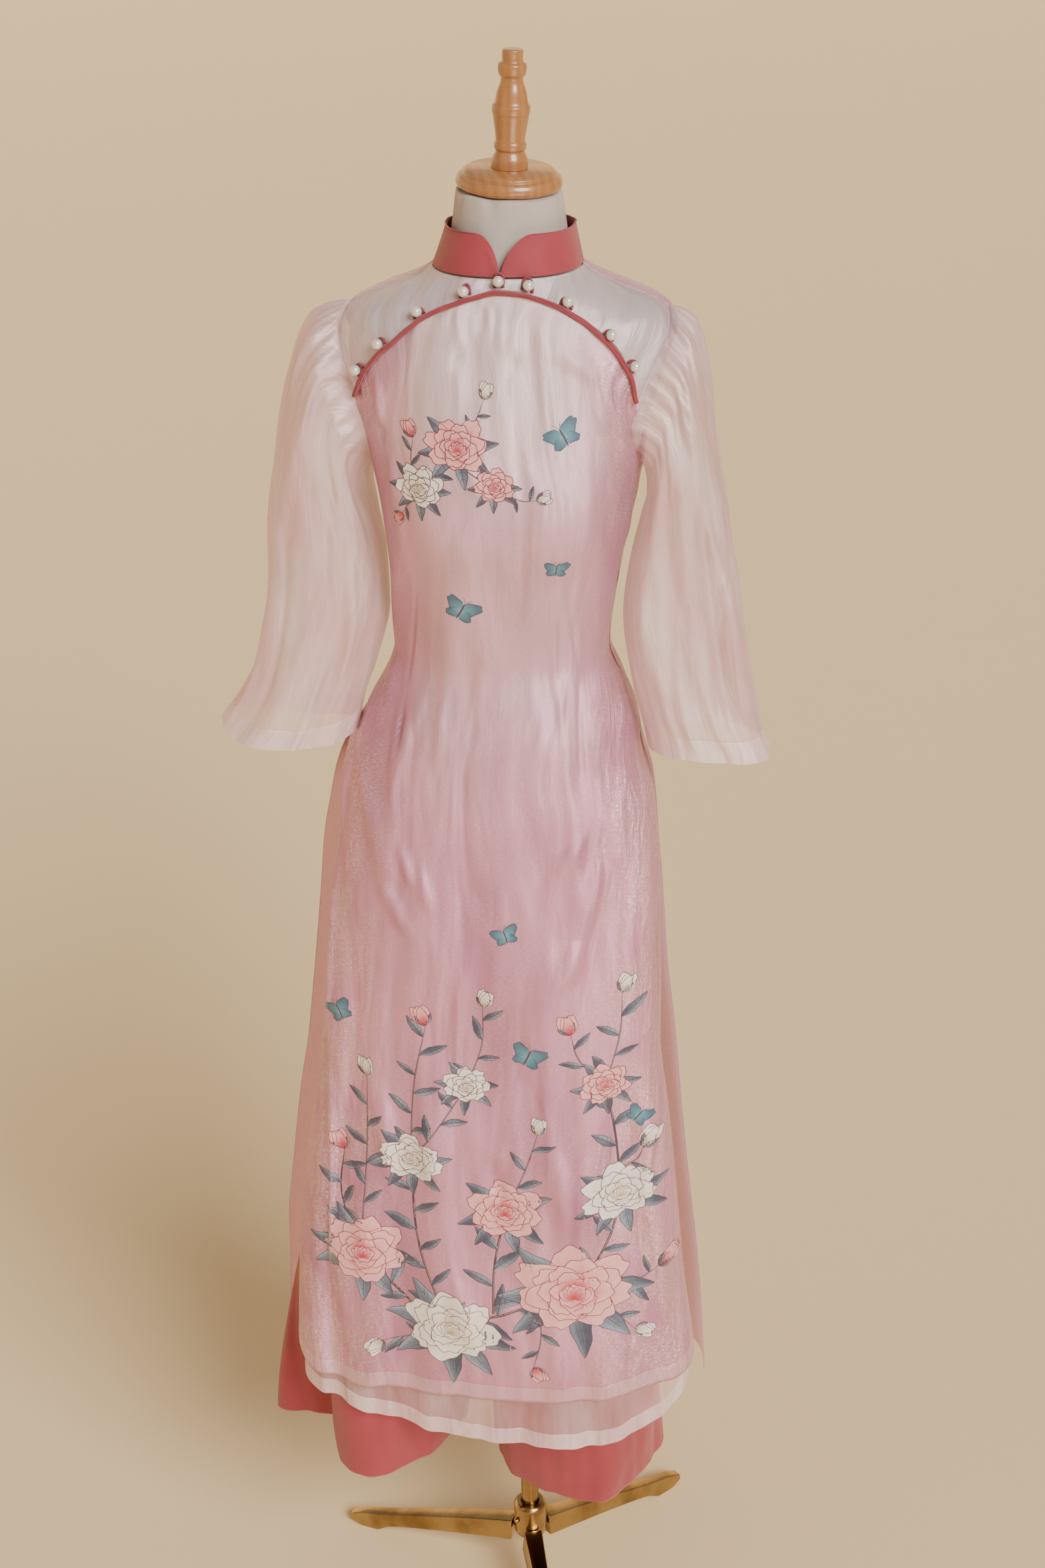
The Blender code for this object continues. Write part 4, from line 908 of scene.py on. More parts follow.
class Print:
    """Flat coloured shapes drawn in mm across and up the front panel, then pressed on its surface."""

    def __init__(self):
        self.points, self.colours, self.lifts, self.faces = [], [], [], []
        self.count = 0

    def patch(self, points, colours, lift):
        """Grid of points (rows, columns, 2) with a colour each, at a height in mm over the cloth."""
        rows, columns = points.shape[:2]
        index = np.arange(rows * columns).reshape(rows, columns) + self.count
        corners = [index[:-1, :-1], index[:-1, 1:], index[1:, 1:], index[1:, :-1]]
        self.faces.append(np.stack(corners, axis=-1).reshape(-1, 4))
        self.points.append(points.reshape(-1, 2))
        self.colours.append(np.broadcast_to(colours, (rows, columns, 3)).reshape(-1, 3))
        self.lifts.append(np.full(rows * columns, lift))
        self.count += rows * columns

    def line(self, path, width, colour, lift, ends=(0.25, 0.25)):
        """Drawn line along a path of points, thin at its ends."""
        path = np.asarray(path, dtype=float)
        along = unit(np.gradient(path, axis=0))
        side = np.stack([-along[:, 1], along[:, 0]], axis=-1)
        t = np.linspace(0, 1, len(path))
        swell = mix(ends[0], 1, smooth(0, 0.18, t)) * mix(ends[1], 1, smooth(1, 0.7, t))
        half = (width / 2 * swell)[:, None]
        self.patch(np.stack([path - side * half, path + side * half], axis=1), np.array(colour), lift)

    def press(self, name, tree):
        """Make the mesh: each point meets the cloth in front of it and stands its lift above it."""
        points = np.concatenate(self.points)
        lifts = np.concatenate(self.lifts)
        colours = np.concatenate(self.colours)
        faces = np.concatenate(self.faces)
        places = np.zeros((len(points), 3))
        landed = np.zeros(len(points), dtype=bool)
        for i, (x, z) in enumerate(points):
            start = Vector((x * MM + POLE_AXIS[0], -1.0, z * MM))
            spot, normal, _, _ = tree.ray_cast(start, Vector((0, 1, 0)), 0.99)
            if spot is not None:
                places[i] = spot + normal * (lifts[i] * MM)
                landed[i] = True
        faces = faces[landed[faces].all(axis=1)]
        spans = places[faces]
        faces = faces[(np.abs(spans - spans[:, :1]).max(axis=(1, 2)) < 0.012)]
        deselect()
        bpy.ops.mesh.primitive_plane_add(size=0.01)
        piece = bpy.context.object
        piece.name = piece.data.name = name
        mesh = piece.data
        mesh.clear_geometry()
        used = np.unique(faces)
        renumber = np.zeros(len(points), dtype=int)
        renumber[used] = np.arange(len(used))
        mesh.from_pydata([tuple(place) for place in places[used]], [], renumber[faces].tolist())
        tint = mesh.color_attributes.new("tint", "FLOAT_COLOR", "POINT")
        opaque = np.ones((len(used), 1))
        tint.data.foreach_set("color", np.concatenate([colours[used], opaque], axis=1).ravel())
        uv = mesh.uv_layers.new(name="UVMap")
        corners = np.empty(len(mesh.loops), dtype=np.int32)
        mesh.loops.foreach_get("vertex_index", corners)
        uv.data.foreach_set("uv", (points[used] * MM)[corners].ravel())
        in_edit_mode()
        bpy.ops.mesh.normals_make_consistent(inside=False)
        bpy.ops.object.mode_set(mode="OBJECT")
        if mesh.polygons and sum(polygon.normal.y * polygon.area for polygon in mesh.polygons) > 0:
            in_edit_mode()
            bpy.ops.mesh.flip_normals()
            bpy.ops.object.mode_set(mode="OBJECT")
        bpy.ops.object.shade_smooth()
        return piece


def rotated(points, turn):
    """Turn points (…, 2) anticlockwise by degrees."""
    cos, sin = math.cos(math.radians(turn)), math.sin(math.radians(turn))
    return points @ np.array([[cos, sin], [-sin, cos]])


CORAL_PETAL = SimpleNamespace(root=(0.55, 0.02, 0.035), middle=(0.76, 0.15, 0.17), tip=(0.88, 0.48, 0.47),
                              line=(0.20, 0.02, 0.03), vein=(0.52, 0.06, 0.08))
CREAM_PETAL = SimpleNamespace(root=(0.46, 0.34, 0.15), middle=(0.80, 0.71, 0.58), tip=(0.90, 0.86, 0.80),
                              line=(0.12, 0.055, 0.05), vein=(0.56, 0.44, 0.34))
BUTTERFLY_WING = SimpleNamespace(root=(0.20, 0.45, 0.52), middle=(0.08, 0.28, 0.36), tip=(0.03, 0.10, 0.15),
                                 line=(0.01, 0.02, 0.03), vein=(0.02, 0.05, 0.07))
BUTTERFLY_BODY = (0.05, 0.05, 0.06)
GOLD = (0.60, 0.27, 0.02)
STEM = (0.055, 0.03, 0.04)
STEM_LIT = (0.34, 0.25, 0.26)
LEAF_DARK = (0.035, 0.065, 0.10)
LEAF_LIGHT = (0.25, 0.35, 0.42)
BLOSSOM_SQUASH = 0.84


def draw_petal(page, base, turn, length, width, look, lift, rng, squash=1.0, line=0.42):
    """One ruffled petal with its outline and veins, growing from a base towards a turn from straight up."""
    rows, columns = max(8, int(length / 2.4)), 2 * max(5, int(width / 2.4)) + 1
    s = np.linspace(0, 1, rows)[:, None]
    t = np.linspace(-1, 1, columns)[None, :]
    waves = rng.uniform(2.2, 4.2), rng.uniform(0, 6.28)
    ruffle = 0.035 * np.sin(waves[0] * 2 * t + waves[1]) + 0.015 * np.sin(8 * t + waves[1] * 2)
    reach = length * (1 - 0.10 * t**2 - 0.26 * np.abs(t) ** 4 + ruffle * s)
    half = width * (0.20 + 0.80 * np.sin(math.pi / 2 * np.clip(s / 0.72, 0, 1)) ** 1.1)
    half = half * (1 - 0.20 * smooth(0.70, 1.0, s))
    shape = np.stack(np.broadcast_arrays(t * half, s * reach), axis=-1)
    shape = rotated(shape, -turn)
    shape[..., 1] *= squash
    shape = shape + np.array(base)
    streak = 1 - 0.22 * (1 - s) * (0.5 + 0.5 * np.cos(t * 14 + waves[1]))
    colour = mix(np.array(look.root), np.array(look.middle), smooth(0.0, 0.42, s)[..., None])
    colour = mix(colour, np.array(look.tip), (smooth(0.3, 0.85, s) * (0.75 + 0.25 * np.abs(t)))[..., None])
    page.patch(shape, colour * np.broadcast_to(streak, shape.shape[:2])[..., None], lift)
    rim = np.concatenate([shape[2:, 0], shape[-1, 1:], shape[-2:1:-1, -1]])
    page.line(rim, line, look.line, lift + 0.02)
    for share in (-0.55, -0.2, 0.18, 0.5):
        column = int(round((share + 1) / 2 * (columns - 1)))
        last = int(rows * rng.uniform(0.55, 0.8))
        page.line(shape[1:last, column], line * 0.55, look.vein, lift + 0.015, ends=(0.9, 0.1))


def draw_peony(page, x, z, size, look, seed):
    """Layered blossom with a golden heart, seen a little from above, its inner petals standing higher."""
    rng = np.random.default_rng(seed)
    lift = 0.16
    rings = [(7, 1.0, 0.43, 0.0), (6, 0.80, 0.38, 0.04), (6, 0.61, 0.31, 0.10), (5, 0.42, 0.23, 0.16)]
    start = rng.uniform(0, 360)
    for count, length, width, rise in rings:
        order = sorted(range(count), key=lambda i: -math.cos(math.radians(start + 360 * i / count)))
        for i in order:
            turn = start + 360 * i / count + rng.uniform(-9, 9)
            upward = math.cos(math.radians(turn))
            reach = size * length * rng.uniform(0.9, 1.08) * (1 + 0.12 * upward)
            base = (x, z + rise * size * (1 - BLOSSOM_SQUASH) * 2.2)
            draw_petal(page, base, turn, reach, size * width, look, lift, rng, BLOSSOM_SQUASH, 0.75)
            lift += 0.014
        start += 27
    heart = np.array([x, z + 0.10 * size])
    for i in range(16):
        turn = rng.uniform(0, 6.28)
        reach = size * rng.uniform(0.06, 0.16)
        end = heart + np.array([math.sin(turn) * reach, math.cos(turn) * reach * 0.7])
        page.line([heart, (heart + end) / 2 + 0.3, end], 0.55, GOLD, lift + 0.02, ends=(1, 1))
        dot = np.array([[[-.5, -.5], [.5, -.5]], [[-.5, .5], [.5, .5]]]) * 0.9 + end
        page.patch(dot, np.array((0.80, 0.55, 0.16)), lift + 0.03)
    for i in range(5):
        turn = -60 + 30 * i + rng.uniform(-6, 6)
        draw_petal(page, (x, z - 0.10 * size), turn, size * 0.30, size * 0.13, look, lift + 0.04 + i * 0.014,
                   rng, 0.95, 0.6)


def draw_bud(page, x, z, size, turn, look, seed):
    """Closed bud of folded petals in two sepals."""
    rng = np.random.default_rng(seed)
    for i, (lean, width) in enumerate([(-16, 0.30), (15, 0.30), (-5, 0.30), (4, 0.24)]):
        draw_petal(page, (x, z), turn + lean, size * (1 - 0.04 * i), size * width, look, 0.20 + 0.02 * i, rng,
                   1.0, 0.6)
    for lean in (-38, 34):
        draw_leaf(page, x, z, size * 0.62, turn + lean, 0.20, seed + 7, lift=0.24)


def draw_leaf(page, x, z, length, turn, width=0.22, seed=0, lift=0.12):
    """Lance-shaped leaf, dark along one side, with a midrib and side veins."""
    rng = np.random.default_rng(seed)
    bow = rng.uniform(-0.16, 0.16)
    s = np.linspace(0, 1, 19)[:, None]
    t = np.linspace(-1, 1, 7)[None, :]
    half = length * width * np.sin(math.pi * s**0.85) ** 0.85 * (1 + 0.06 * np.sin(s * 21 + t))
    x_side = t * half + bow * length * np.sin(math.pi * s / 2) ** 2
    shape = rotated(np.stack(np.broadcast_arrays(x_side, s * length + 0 * t), axis=-1), -turn)
    shape = shape + np.array([x, z])
    shade = 0.34 + 0.42 * t + 0.26 * np.sin(s * 5 + seed) + 0.14 * np.cos(t * 9)
    colour = mix(np.array(LEAF_DARK), np.array(LEAF_LIGHT), np.clip(shade + 0 * s, 0, 1)[..., None])
    page.patch(shape, colour, lift)
    page.line(np.concatenate([shape[:, 0], shape[::-1, -1]]), 0.55, STEM, lift + 0.015)
    page.line(shape[:, 3], 0.75, STEM, lift + 0.02, ends=(1.4, 0.2))
    for row in (4, 7, 10, 13):
        for side in (0, 6):
            page.line([shape[row, 3], mix(shape[row, 3], shape[row + 1, side], 0.5), shape[row + 2, side]],
                      0.4, STEM, lift + 0.018, ends=(1, 0.2))


def smooth_path(rows, count=40):
    """Points along a smooth curve through a few places."""
    rows = np.array(rows, dtype=float)
    padded = np.vstack([2 * rows[0] - rows[1], rows, 2 * rows[-1] - rows[-2]])
    fine = []
    for i in range(1, len(padded) - 2):
        a, b, c, d = padded[i - 1:i + 3]
        t = np.linspace(0, 1, 12, endpoint=False)[:, None]
        fine.append(0.5 * (2 * b + (c - a) * t + (2 * a - 5 * b + 4 * c - d) * t**2
                           + (3 * b - a - 3 * c + d) * t**3))
    fine = np.vstack(fine + [rows[-1:]])
    length = np.concatenate([[0], np.cumsum(np.linalg.norm(np.diff(fine, axis=0), axis=1))])
    places = np.linspace(0, length[-1], count)
    return np.stack([np.interp(places, length, fine[:, k]) for k in range(rows.shape[1])], axis=-1)


def draw_stem(page, rows, width, seed, spacing=23.0):
    """Woody stem with a pale upper edge, and leaves set on it by turns to the left and right."""
    path = smooth_path(rows, 60)
    rng = np.random.default_rng(seed)
    length = np.linalg.norm(np.diff(path, axis=0), axis=1).sum()
    along = unit(np.gradient(path, axis=0))
    side = 1 if seed % 2 else -1
    for share in np.arange(0.5 * spacing / length, 0.93, spacing / length):
        i = int(share * 59)
        heading = math.degrees(math.atan2(along[i, 0], along[i, 1]))
        reach = spacing * (0.75 + 0.28 * width) * rng.uniform(0.8, 1.15)
        draw_leaf(page, *path[i], reach, heading + side * rng.uniform(34, 66), rng.uniform(0.13, 0.17),
                  int(rng.integers(0, 99)), lift=0.12 + 0.02 * rng.random())
        side = -side
    page.line(path, width, STEM, 0.10, ends=(1, 0.35))
    page.line(path + width * 0.12, width * 0.28, STEM_LIT, 0.11, ends=(0.4, 0.2))


def draw_butterfly(page, x, z, size, turn, seed):
    """Small blue butterfly: two fore wings, two hind wings, a body and feelers."""
    rng = np.random.default_rng(seed)
    for lean, length, width in ((52, 1.0, 0.36), (-58, 0.92, 0.34), (118, 0.70, 0.28), (-124, 0.66, 0.27)):
        draw_petal(page, (x, z), turn + lean, size * length, size * width, BUTTERFLY_WING, 0.20, rng,
                   1.0, 0.4)
    body = rotated(np.array([[0, -0.45], [0.02, 0.0], [0, 0.42]]) * size, -turn) + np.array([x, z])
    page.line(smooth_path(body, 10), size * 0.09, BUTTERFLY_BODY, 0.26, ends=(0.2, 0.6))
    for side in (-1, 1):
        feeler = rotated(np.array([[0, 0.4], [0.10 * side, 0.62], [0.26 * side, 0.78]]) * size, -turn)
        page.line(smooth_path(feeler + np.array([x, z]), 8), 0.3, BUTTERFLY_BODY, 0.25)


# The skirt's garland and the chest's spray. Blossoms: x, z, size, petals, seed. Buds and butterflies have
# their turn after the size. Stems: places along them, and width.
SKIRT_PEONIES = [
    (66, 498, 62, "coral", 11), (-66, 446, 54, "cream", 12), (-158, 532, 46, "coral", 13),
    (112, 612, 38, "cream", 14), (-6, 596, 40, "coral", 15), (-104, 652, 34, "cream", 16),
    (96, 742, 27, "coral", 17), (-44, 742, 25, "cream", 18),
]
SKIRT_BUDS = [
    (134, 664, 26, 34, "cream", 21), (62, 806, 24, -14, "coral", 22), (112, 846, 22, 22, "cream", 23),
    (-84, 812, 24, -20, "coral", 24), (-26, 836, 20, 16, "cream", 25), (-176, 648, 24, -22, "coral", 26),
    (-148, 742, 21, -6, "cream", 27), (152, 520, 24, 58, "coral", 28), (-140, 420, 24, -128, "cream", 29),
    (22, 404, 22, 150, "coral", 30), (128, 446, 22, 112, "cream", 31), (28, 690, 20, 8, "cream", 32),
]
SKIRT_STEMS = [
    ([(-66, 446), (-10, 470), (66, 498)], 3.0), ([(66, 498), (100, 560), (112, 612)], 2.6),
    ([(112, 612), (106, 680), (96, 742)], 2.2), ([(96, 742), (70, 776), (62, 806)], 1.5),
    ([(96, 742), (110, 800), (112, 846)], 1.5), ([(112, 640), (128, 650), (134, 664)], 1.4),
    ([(-66, 446), (-112, 476), (-158, 532)], 2.6), ([(-158, 532), (-180, 596), (-176, 648)], 1.8),
    ([(-158, 560), (-150, 660), (-148, 742)], 1.5), ([(-66, 446), (-98, 550), (-104, 652)], 2.4),
    ([(-104, 652), (-98, 740), (-84, 812)], 1.6), ([(-104, 652), (-70, 700), (-44, 742)], 1.6),
    ([(-44, 742), (-28, 790), (-26, 836)], 1.4), ([(-20, 470), (-18, 530), (-6, 596)], 2.4),
    ([(-6, 596), (16, 650), (28, 690)], 1.5), ([(66, 498), (120, 500), (152, 520)], 1.5),
    ([(-66, 446), (-110, 428), (-140, 420)], 1.5), ([(30, 482), (30, 440), (22, 404)], 1.4),
    ([(66, 498), (104, 470), (128, 446)], 1.4),
]
SKIRT_BUTTERFLIES = [
    (18, 780, 22, 24, 41), (-176, 806, 18, -30, 42), (128, 700, 17, 40, 43), (-2, 916, 17, -16, 44),
]

CHEST_PEONIES = [(-38, 1418, 29, "coral", 51), (-74, 1378, 23, "cream", 52), (-4, 1384, 19, "coral", 53)]
CHEST_BUDS = [
    (-80, 1424, 17, -24, "coral", 54), (-14, 1462, 16, 14, "cream", 55), (34, 1372, 15, 74, "cream", 56),
    (-92, 1350, 14, -140, "coral", 57),
]
CHEST_STEMS = [
    ([(-74, 1378), (-56, 1396), (-38, 1418)], 1.4), ([(-38, 1418), (-22, 1442), (-14, 1462)], 1.1),
    ([(-74, 1378), (-82, 1400), (-80, 1424)], 1.0), ([(-38, 1404), (-20, 1392), (-4, 1384)], 1.2),
    ([(-4, 1384), (18, 1372), (34, 1372)], 1.0), ([(-74, 1372), (-86, 1360), (-92, 1350)], 0.9),
]
CHEST_BUTTERFLIES = [(58, 1428, 20, -28, 61), (-40, 1256, 21, 30, 62), (50, 1300, 14, 12, 63)]
PETALS = {"coral": CORAL_PETAL, "cream": CREAM_PETAL}


def draw_spray(stems, buds, peonies, butterflies, spacing):
    """One placed design: stems first, then leaves, buds, blossoms and butterflies over them."""
    page = Print()
    for seed, (rows, width) in enumerate(stems):
        draw_stem(page, rows, width, seed, spacing)
    for x, z, size, look, seed in peonies:
        for turn in (70, 118, 160, 205, 250, 300):
            draw_leaf(page, x, z, size * 1.32, turn + seed % 7 * 5, 0.15, seed + turn, lift=0.15)
    for x, z, size, turn, look, seed in buds:
        draw_bud(page, x, z, size, turn, PETALS[look], seed)
    for x, z, size, look, seed in peonies:
        draw_peony(page, x, z, size, PETALS[look], seed)
    for row in butterflies:
        draw_butterfly(page, *row)
    return page


def printed_ink(settings):
    """Dyed flowers: the same fine weave and sheen as the satin under them."""
    paint = Paint("printed_ink", Sheen_Weight=0.25, Sheen_Roughness=0.4, Specular_IOR_Level=0.4,
                  Metallic=0.12)
    tint = paint.node("Attribute", {"attribute_name": "tint"}, {}, "Color")
    u, v = paint.cloth_place()
    clouds = paint.stretched((u, v), (60.0, 60.0), 3.0, 0.6)
    wash = paint.blend(clouds * 0.10, tint, settings.satin)
    paint.set(Base_Color=wash, Roughness=clouds * 0.1 + 0.38,
              Normal=paint.bump(weave_height(paint, u, v) + clouds * 0.0001, 0.6))
    return paint.material


# Studio in metres: floor, cove and wall, lights, and the camera's place from the pole
FLOOR_RADIUS = 14.0
COVE_RADIUS = 3.0
COVE_STEPS = 10
WALL_HEIGHT = 5.0
SUN_WIDTH = math.radians(30)
LAMP_SIZE = 1.2
AIR_STRENGTH = 0.5
LIT_PLACE = Vector((0, 0, 0.9))
CAMERA_PLACE = Vector((0.2745, -2.3742, 2.2146))
CAMERA_TURN = math.radians(6.5)
CAMERA_TILT = math.radians(26.44)
CAMERA_ROLL = math.radians(-0.88)
SENSOR_WIDTH = 36.0


def colour_property(name, description, default):
    """Property that holds a colour."""
    return FloatVectorProperty(name=name, description=description, default=default, size=3, min=0.0, max=1.0,
                               subtype="COLOR")


class GownSettings(bpy.types.PropertyGroup):
    """Colours and sizes of the cloth and its trimming."""

    satin: colour_property("Satin", "Pink of the body's shimmering cloth", (0.72, 0.325, 0.465))
    # Satin shade: the mauve of the random patches, partly uneven tone and partly painted shade, and of the
    # hem's seam line.
    satin_shade: colour_property("Satin shade", "Mauve patches of the body's cloth", (0.53, 0.215, 0.335))
    # Pale satin down the centre of chest and waist: partly the light form seen through, partly a painted
    # highlight.
    satin_pale_and_highlight: colour_property("Satin over the chest", "Paler cloth over the light form", (0.82, 0.68, 0.70))
    glint: colour_property("Glint", "Champagne dashes in the cloth", (0.95, 0.78, 0.68))
    hem: colour_property("Hem", "Double cloth of the front hem", (0.86, 0.60, 0.66))
    margin: colour_property("Margin", "Sheer side margins of the back panel", (0.97, 0.70, 0.78))
    organza: colour_property("Organza", "Sheer cloth of the sleeves", (0.82, 0.50, 0.55))
    organza_pale: colour_property("Pale organza", "Highlights of the sheer cloth", (0.92, 0.74, 0.78))
    yoke: colour_property("Yoke organza", "Sheer cloth over the shoulders", (0.83, 0.72, 0.785))
    coral: colour_property("Coral", "Trousers, collar, piping and loops", (0.345, 0.040, 0.060))
    coral_shade: colour_property("Coral shade", "Uneven dye of the coral cloth", (0.295, 0.035, 0.050))
    coral_thread: colour_property("Coral thread", "Stitches above the trouser hems", (0.33, 0.04, 0.05))
    pearl: colour_property("Pearl", "Pearl buttons", (0.80, 0.76, 0.70))
    pearl_shade: colour_property("Pearl shade", "Cloudy parts of the pearls", (0.68, 0.63, 0.58))
    satin_wall: FloatProperty(name="Satin wall", description="Thickness of the panels", default=0.8, min=0.3,
                              max=2.0)
    coral_wall: FloatProperty(name="Coral wall", description="Thickness of the trousers", default=0.9,
                              min=0.3, max=2.0)
    collar_wall: FloatProperty(name="Collar wall", description="Thickness of the faced collar", default=1.2,
                               min=0.5, max=3.0)


class StandSettings(bpy.types.PropertyGroup):
    """Colours and sizes of the form and its stand."""

    form: colour_property("Form cover", "Jersey over the torso", (0.47, 0.405, 0.36))
    form_shade: colour_property("Form cover shade", "Uneven jersey", (0.40, 0.345, 0.305))
    form_seam: colour_property("Form seam", "Seam down the neck", (0.34, 0.31, 0.28))
    wood: colour_property("Wood", "Varnished light wood", (0.40, 0.176, 0.056))
    wood_dark: colour_property("Wood grain", "Darker growth rings", (0.285, 0.112, 0.031))
    wood_pore: colour_property("Wood pores", "Fine dark grain", (0.24, 0.09, 0.025))
    brass: colour_property("Brass", "Polished brass", (0.46, 0.32, 0.15))
    brass_shade: colour_property("Smoked brass", "Duller parts of the brass", (0.26, 0.165, 0.07))
    edge: FloatProperty(name="Edge", description="Rounding of the stand's edges in metres", default=0.0012,
                        min=0.0002, max=0.004, unit="LENGTH")


class StudioSettings(bpy.types.PropertyGroup):
    """Floor, lights and camera."""

    floor: colour_property("Floor", "Pale warm floor", (0.865, 0.665, 0.385))
    air: colour_property("Air", "Even light from all round, and what lies past the floor", (0.82, 0.75, 0.67))
    key_power: FloatProperty(name="Key light", description="Broad light from the right, like a large window",
                             default=4.3, min=0.0)
    low_power: FloatProperty(name="Low light", description="Reflector low in front, for the satin's gloss",
                             default=16.0, min=0.0, unit="POWER")
    fill_power: FloatProperty(name="Fill light", description="Soft light from the left", default=2.5, min=0.0,
                              unit="POWER")
    lens: FloatProperty(name="Lens", description="Focal length", default=61.03, min=10.0, unit="CAMERA")


class AODAI_OT_studio(bpy.types.Operator):
    """Add the round floor with its coved wall, the lights and the camera"""
    bl_idname = "aodai.studio"
    bl_label = "Studio"

    def add_floor(self, settings):
        """Round floor whose edge is extruded up a cove into a wall."""
        deselect()
        bpy.ops.mesh.primitive_circle_add(vertices=128, radius=FLOOR_RADIUS, fill_type="NGON")
        floor = bpy.context.object
        floor.name = floor.data.name = "studio_floor"
        in_edit_mode("DESELECT")
        bpy.ops.mesh.select_mode(type="EDGE")
        bpy.ops.object.mode_set(mode="OBJECT")
        for edge in floor.data.edges:
            edge.select = True
        bpy.ops.object.mode_set(mode="EDIT")
        for step in range(COVE_STEPS):
            a, b = (math.pi / 2 * edge / COVE_STEPS for edge in (step, step + 1))
            inner, outer = (FLOOR_RADIUS + COVE_RADIUS * math.sin(angle) for angle in (a, b))
            rise = COVE_RADIUS * (math.cos(a) - math.cos(b))
            bpy.ops.mesh.extrude_edges_move(TRANSFORM_OT_translate={"value": (0, 0, rise)})
            bpy.ops.transform.resize(value=(outer / inner, outer / inner, 1), center_override=(0, 0, 0))
        bpy.ops.mesh.extrude_edges_move(TRANSFORM_OT_translate={"value": (0, 0, WALL_HEIGHT)})
        bpy.ops.object.mode_set(mode="OBJECT")
        bpy.ops.object.shade_smooth()
        floor.data.materials.append(studio_paper(settings.floor))

    def add_light(self, name, kind, place, power, colour):
        """One light that points at the middle of the gown."""
        deselect()
        bpy.ops.object.light_add(type=kind, location=place)
        light = bpy.context.object
        light.name = name
        light.data.energy = power
        light.data.color = colour
        if kind == "SUN":
            light.data.angle = SUN_WIDTH
        else:
            light.data.size = LAMP_SIZE
        light.rotation_euler = (LIT_PLACE - light.location).to_track_quat("-Z", "Y").to_euler()

    def add_air(self, settings):
        """Even light from all round."""
        world = bpy.data.worlds.new("studio_air")
        bpy.context.scene.world = world
        world.use_nodes = True
        background = world.node_tree.nodes["Background"]
        background.inputs["Color"].default_value = (*settings.air, 1)
        background.inputs["Strength"].default_value = AIR_STRENGTH

    def add_camera(self, settings):
        """Camera at the photograph's place and angle."""
        deselect()
        bpy.ops.object.camera_add(location=CAMERA_PLACE + Vector(POLE_AXIS))
        camera = bpy.context.object
        camera.name = "photo_camera"
        camera.data.lens = settings.lens
        camera.data.sensor_width = SENSOR_WIDTH
        camera.matrix_world = (Matrix.Translation(camera.location) @ Matrix.Rotation(CAMERA_TURN, 4, "Z")
                               @ Matrix.Rotation(math.pi / 2 - CAMERA_TILT, 4, "X")
                               @ Matrix.Rotation(CAMERA_ROLL, 4, "Z"))
        bpy.context.scene.camera = camera

    def execute(self, context):
        settings = context.scene.aodai_studio
        self.add_floor(settings)
        self.add_light("key_light", "SUN", (1.9, -2.4, 2.9), settings.key_power, (1.0, 0.965, 0.93))
        self.add_light("low_light", "AREA", (0.95, -2.1, 0.55), settings.low_power, (1.0, 0.98, 0.97))
        self.add_light("fill_light", "AREA", (-2.2, -1.9, 1.9), settings.fill_power, (1.0, 0.95, 0.92))
        self.add_air(settings)
        self.add_camera(settings)
        return {"FINISHED"}


class AODAI_OT_form(bpy.types.Operator):
    """Add the covered torso, the wooden neck cap and the finial"""
    bl_idname = "aodai.form"
    bl_label = "Dress form"

    def execute(self, context):
        settings = context.scene.aodai_stand
        torso = copy_of_solid("form_torso", "covered_torso", 2)
        keep(torso, form_cover(settings), "form_torso", slot="form_cloth")
        wood = varnished_wood(settings)
        cap = lean_about_neck(turned("turned_neck_cap", NECK_CAP_ROWS, 96))
        keep(cap, wood, "neck_cap", slot="wood")
        finial = lean_about_neck(turned("turned_finial", FINIAL_ROWS, 64))
        keep(finial, wood, "finial", slot="wood")
        return {"FINISHED"}


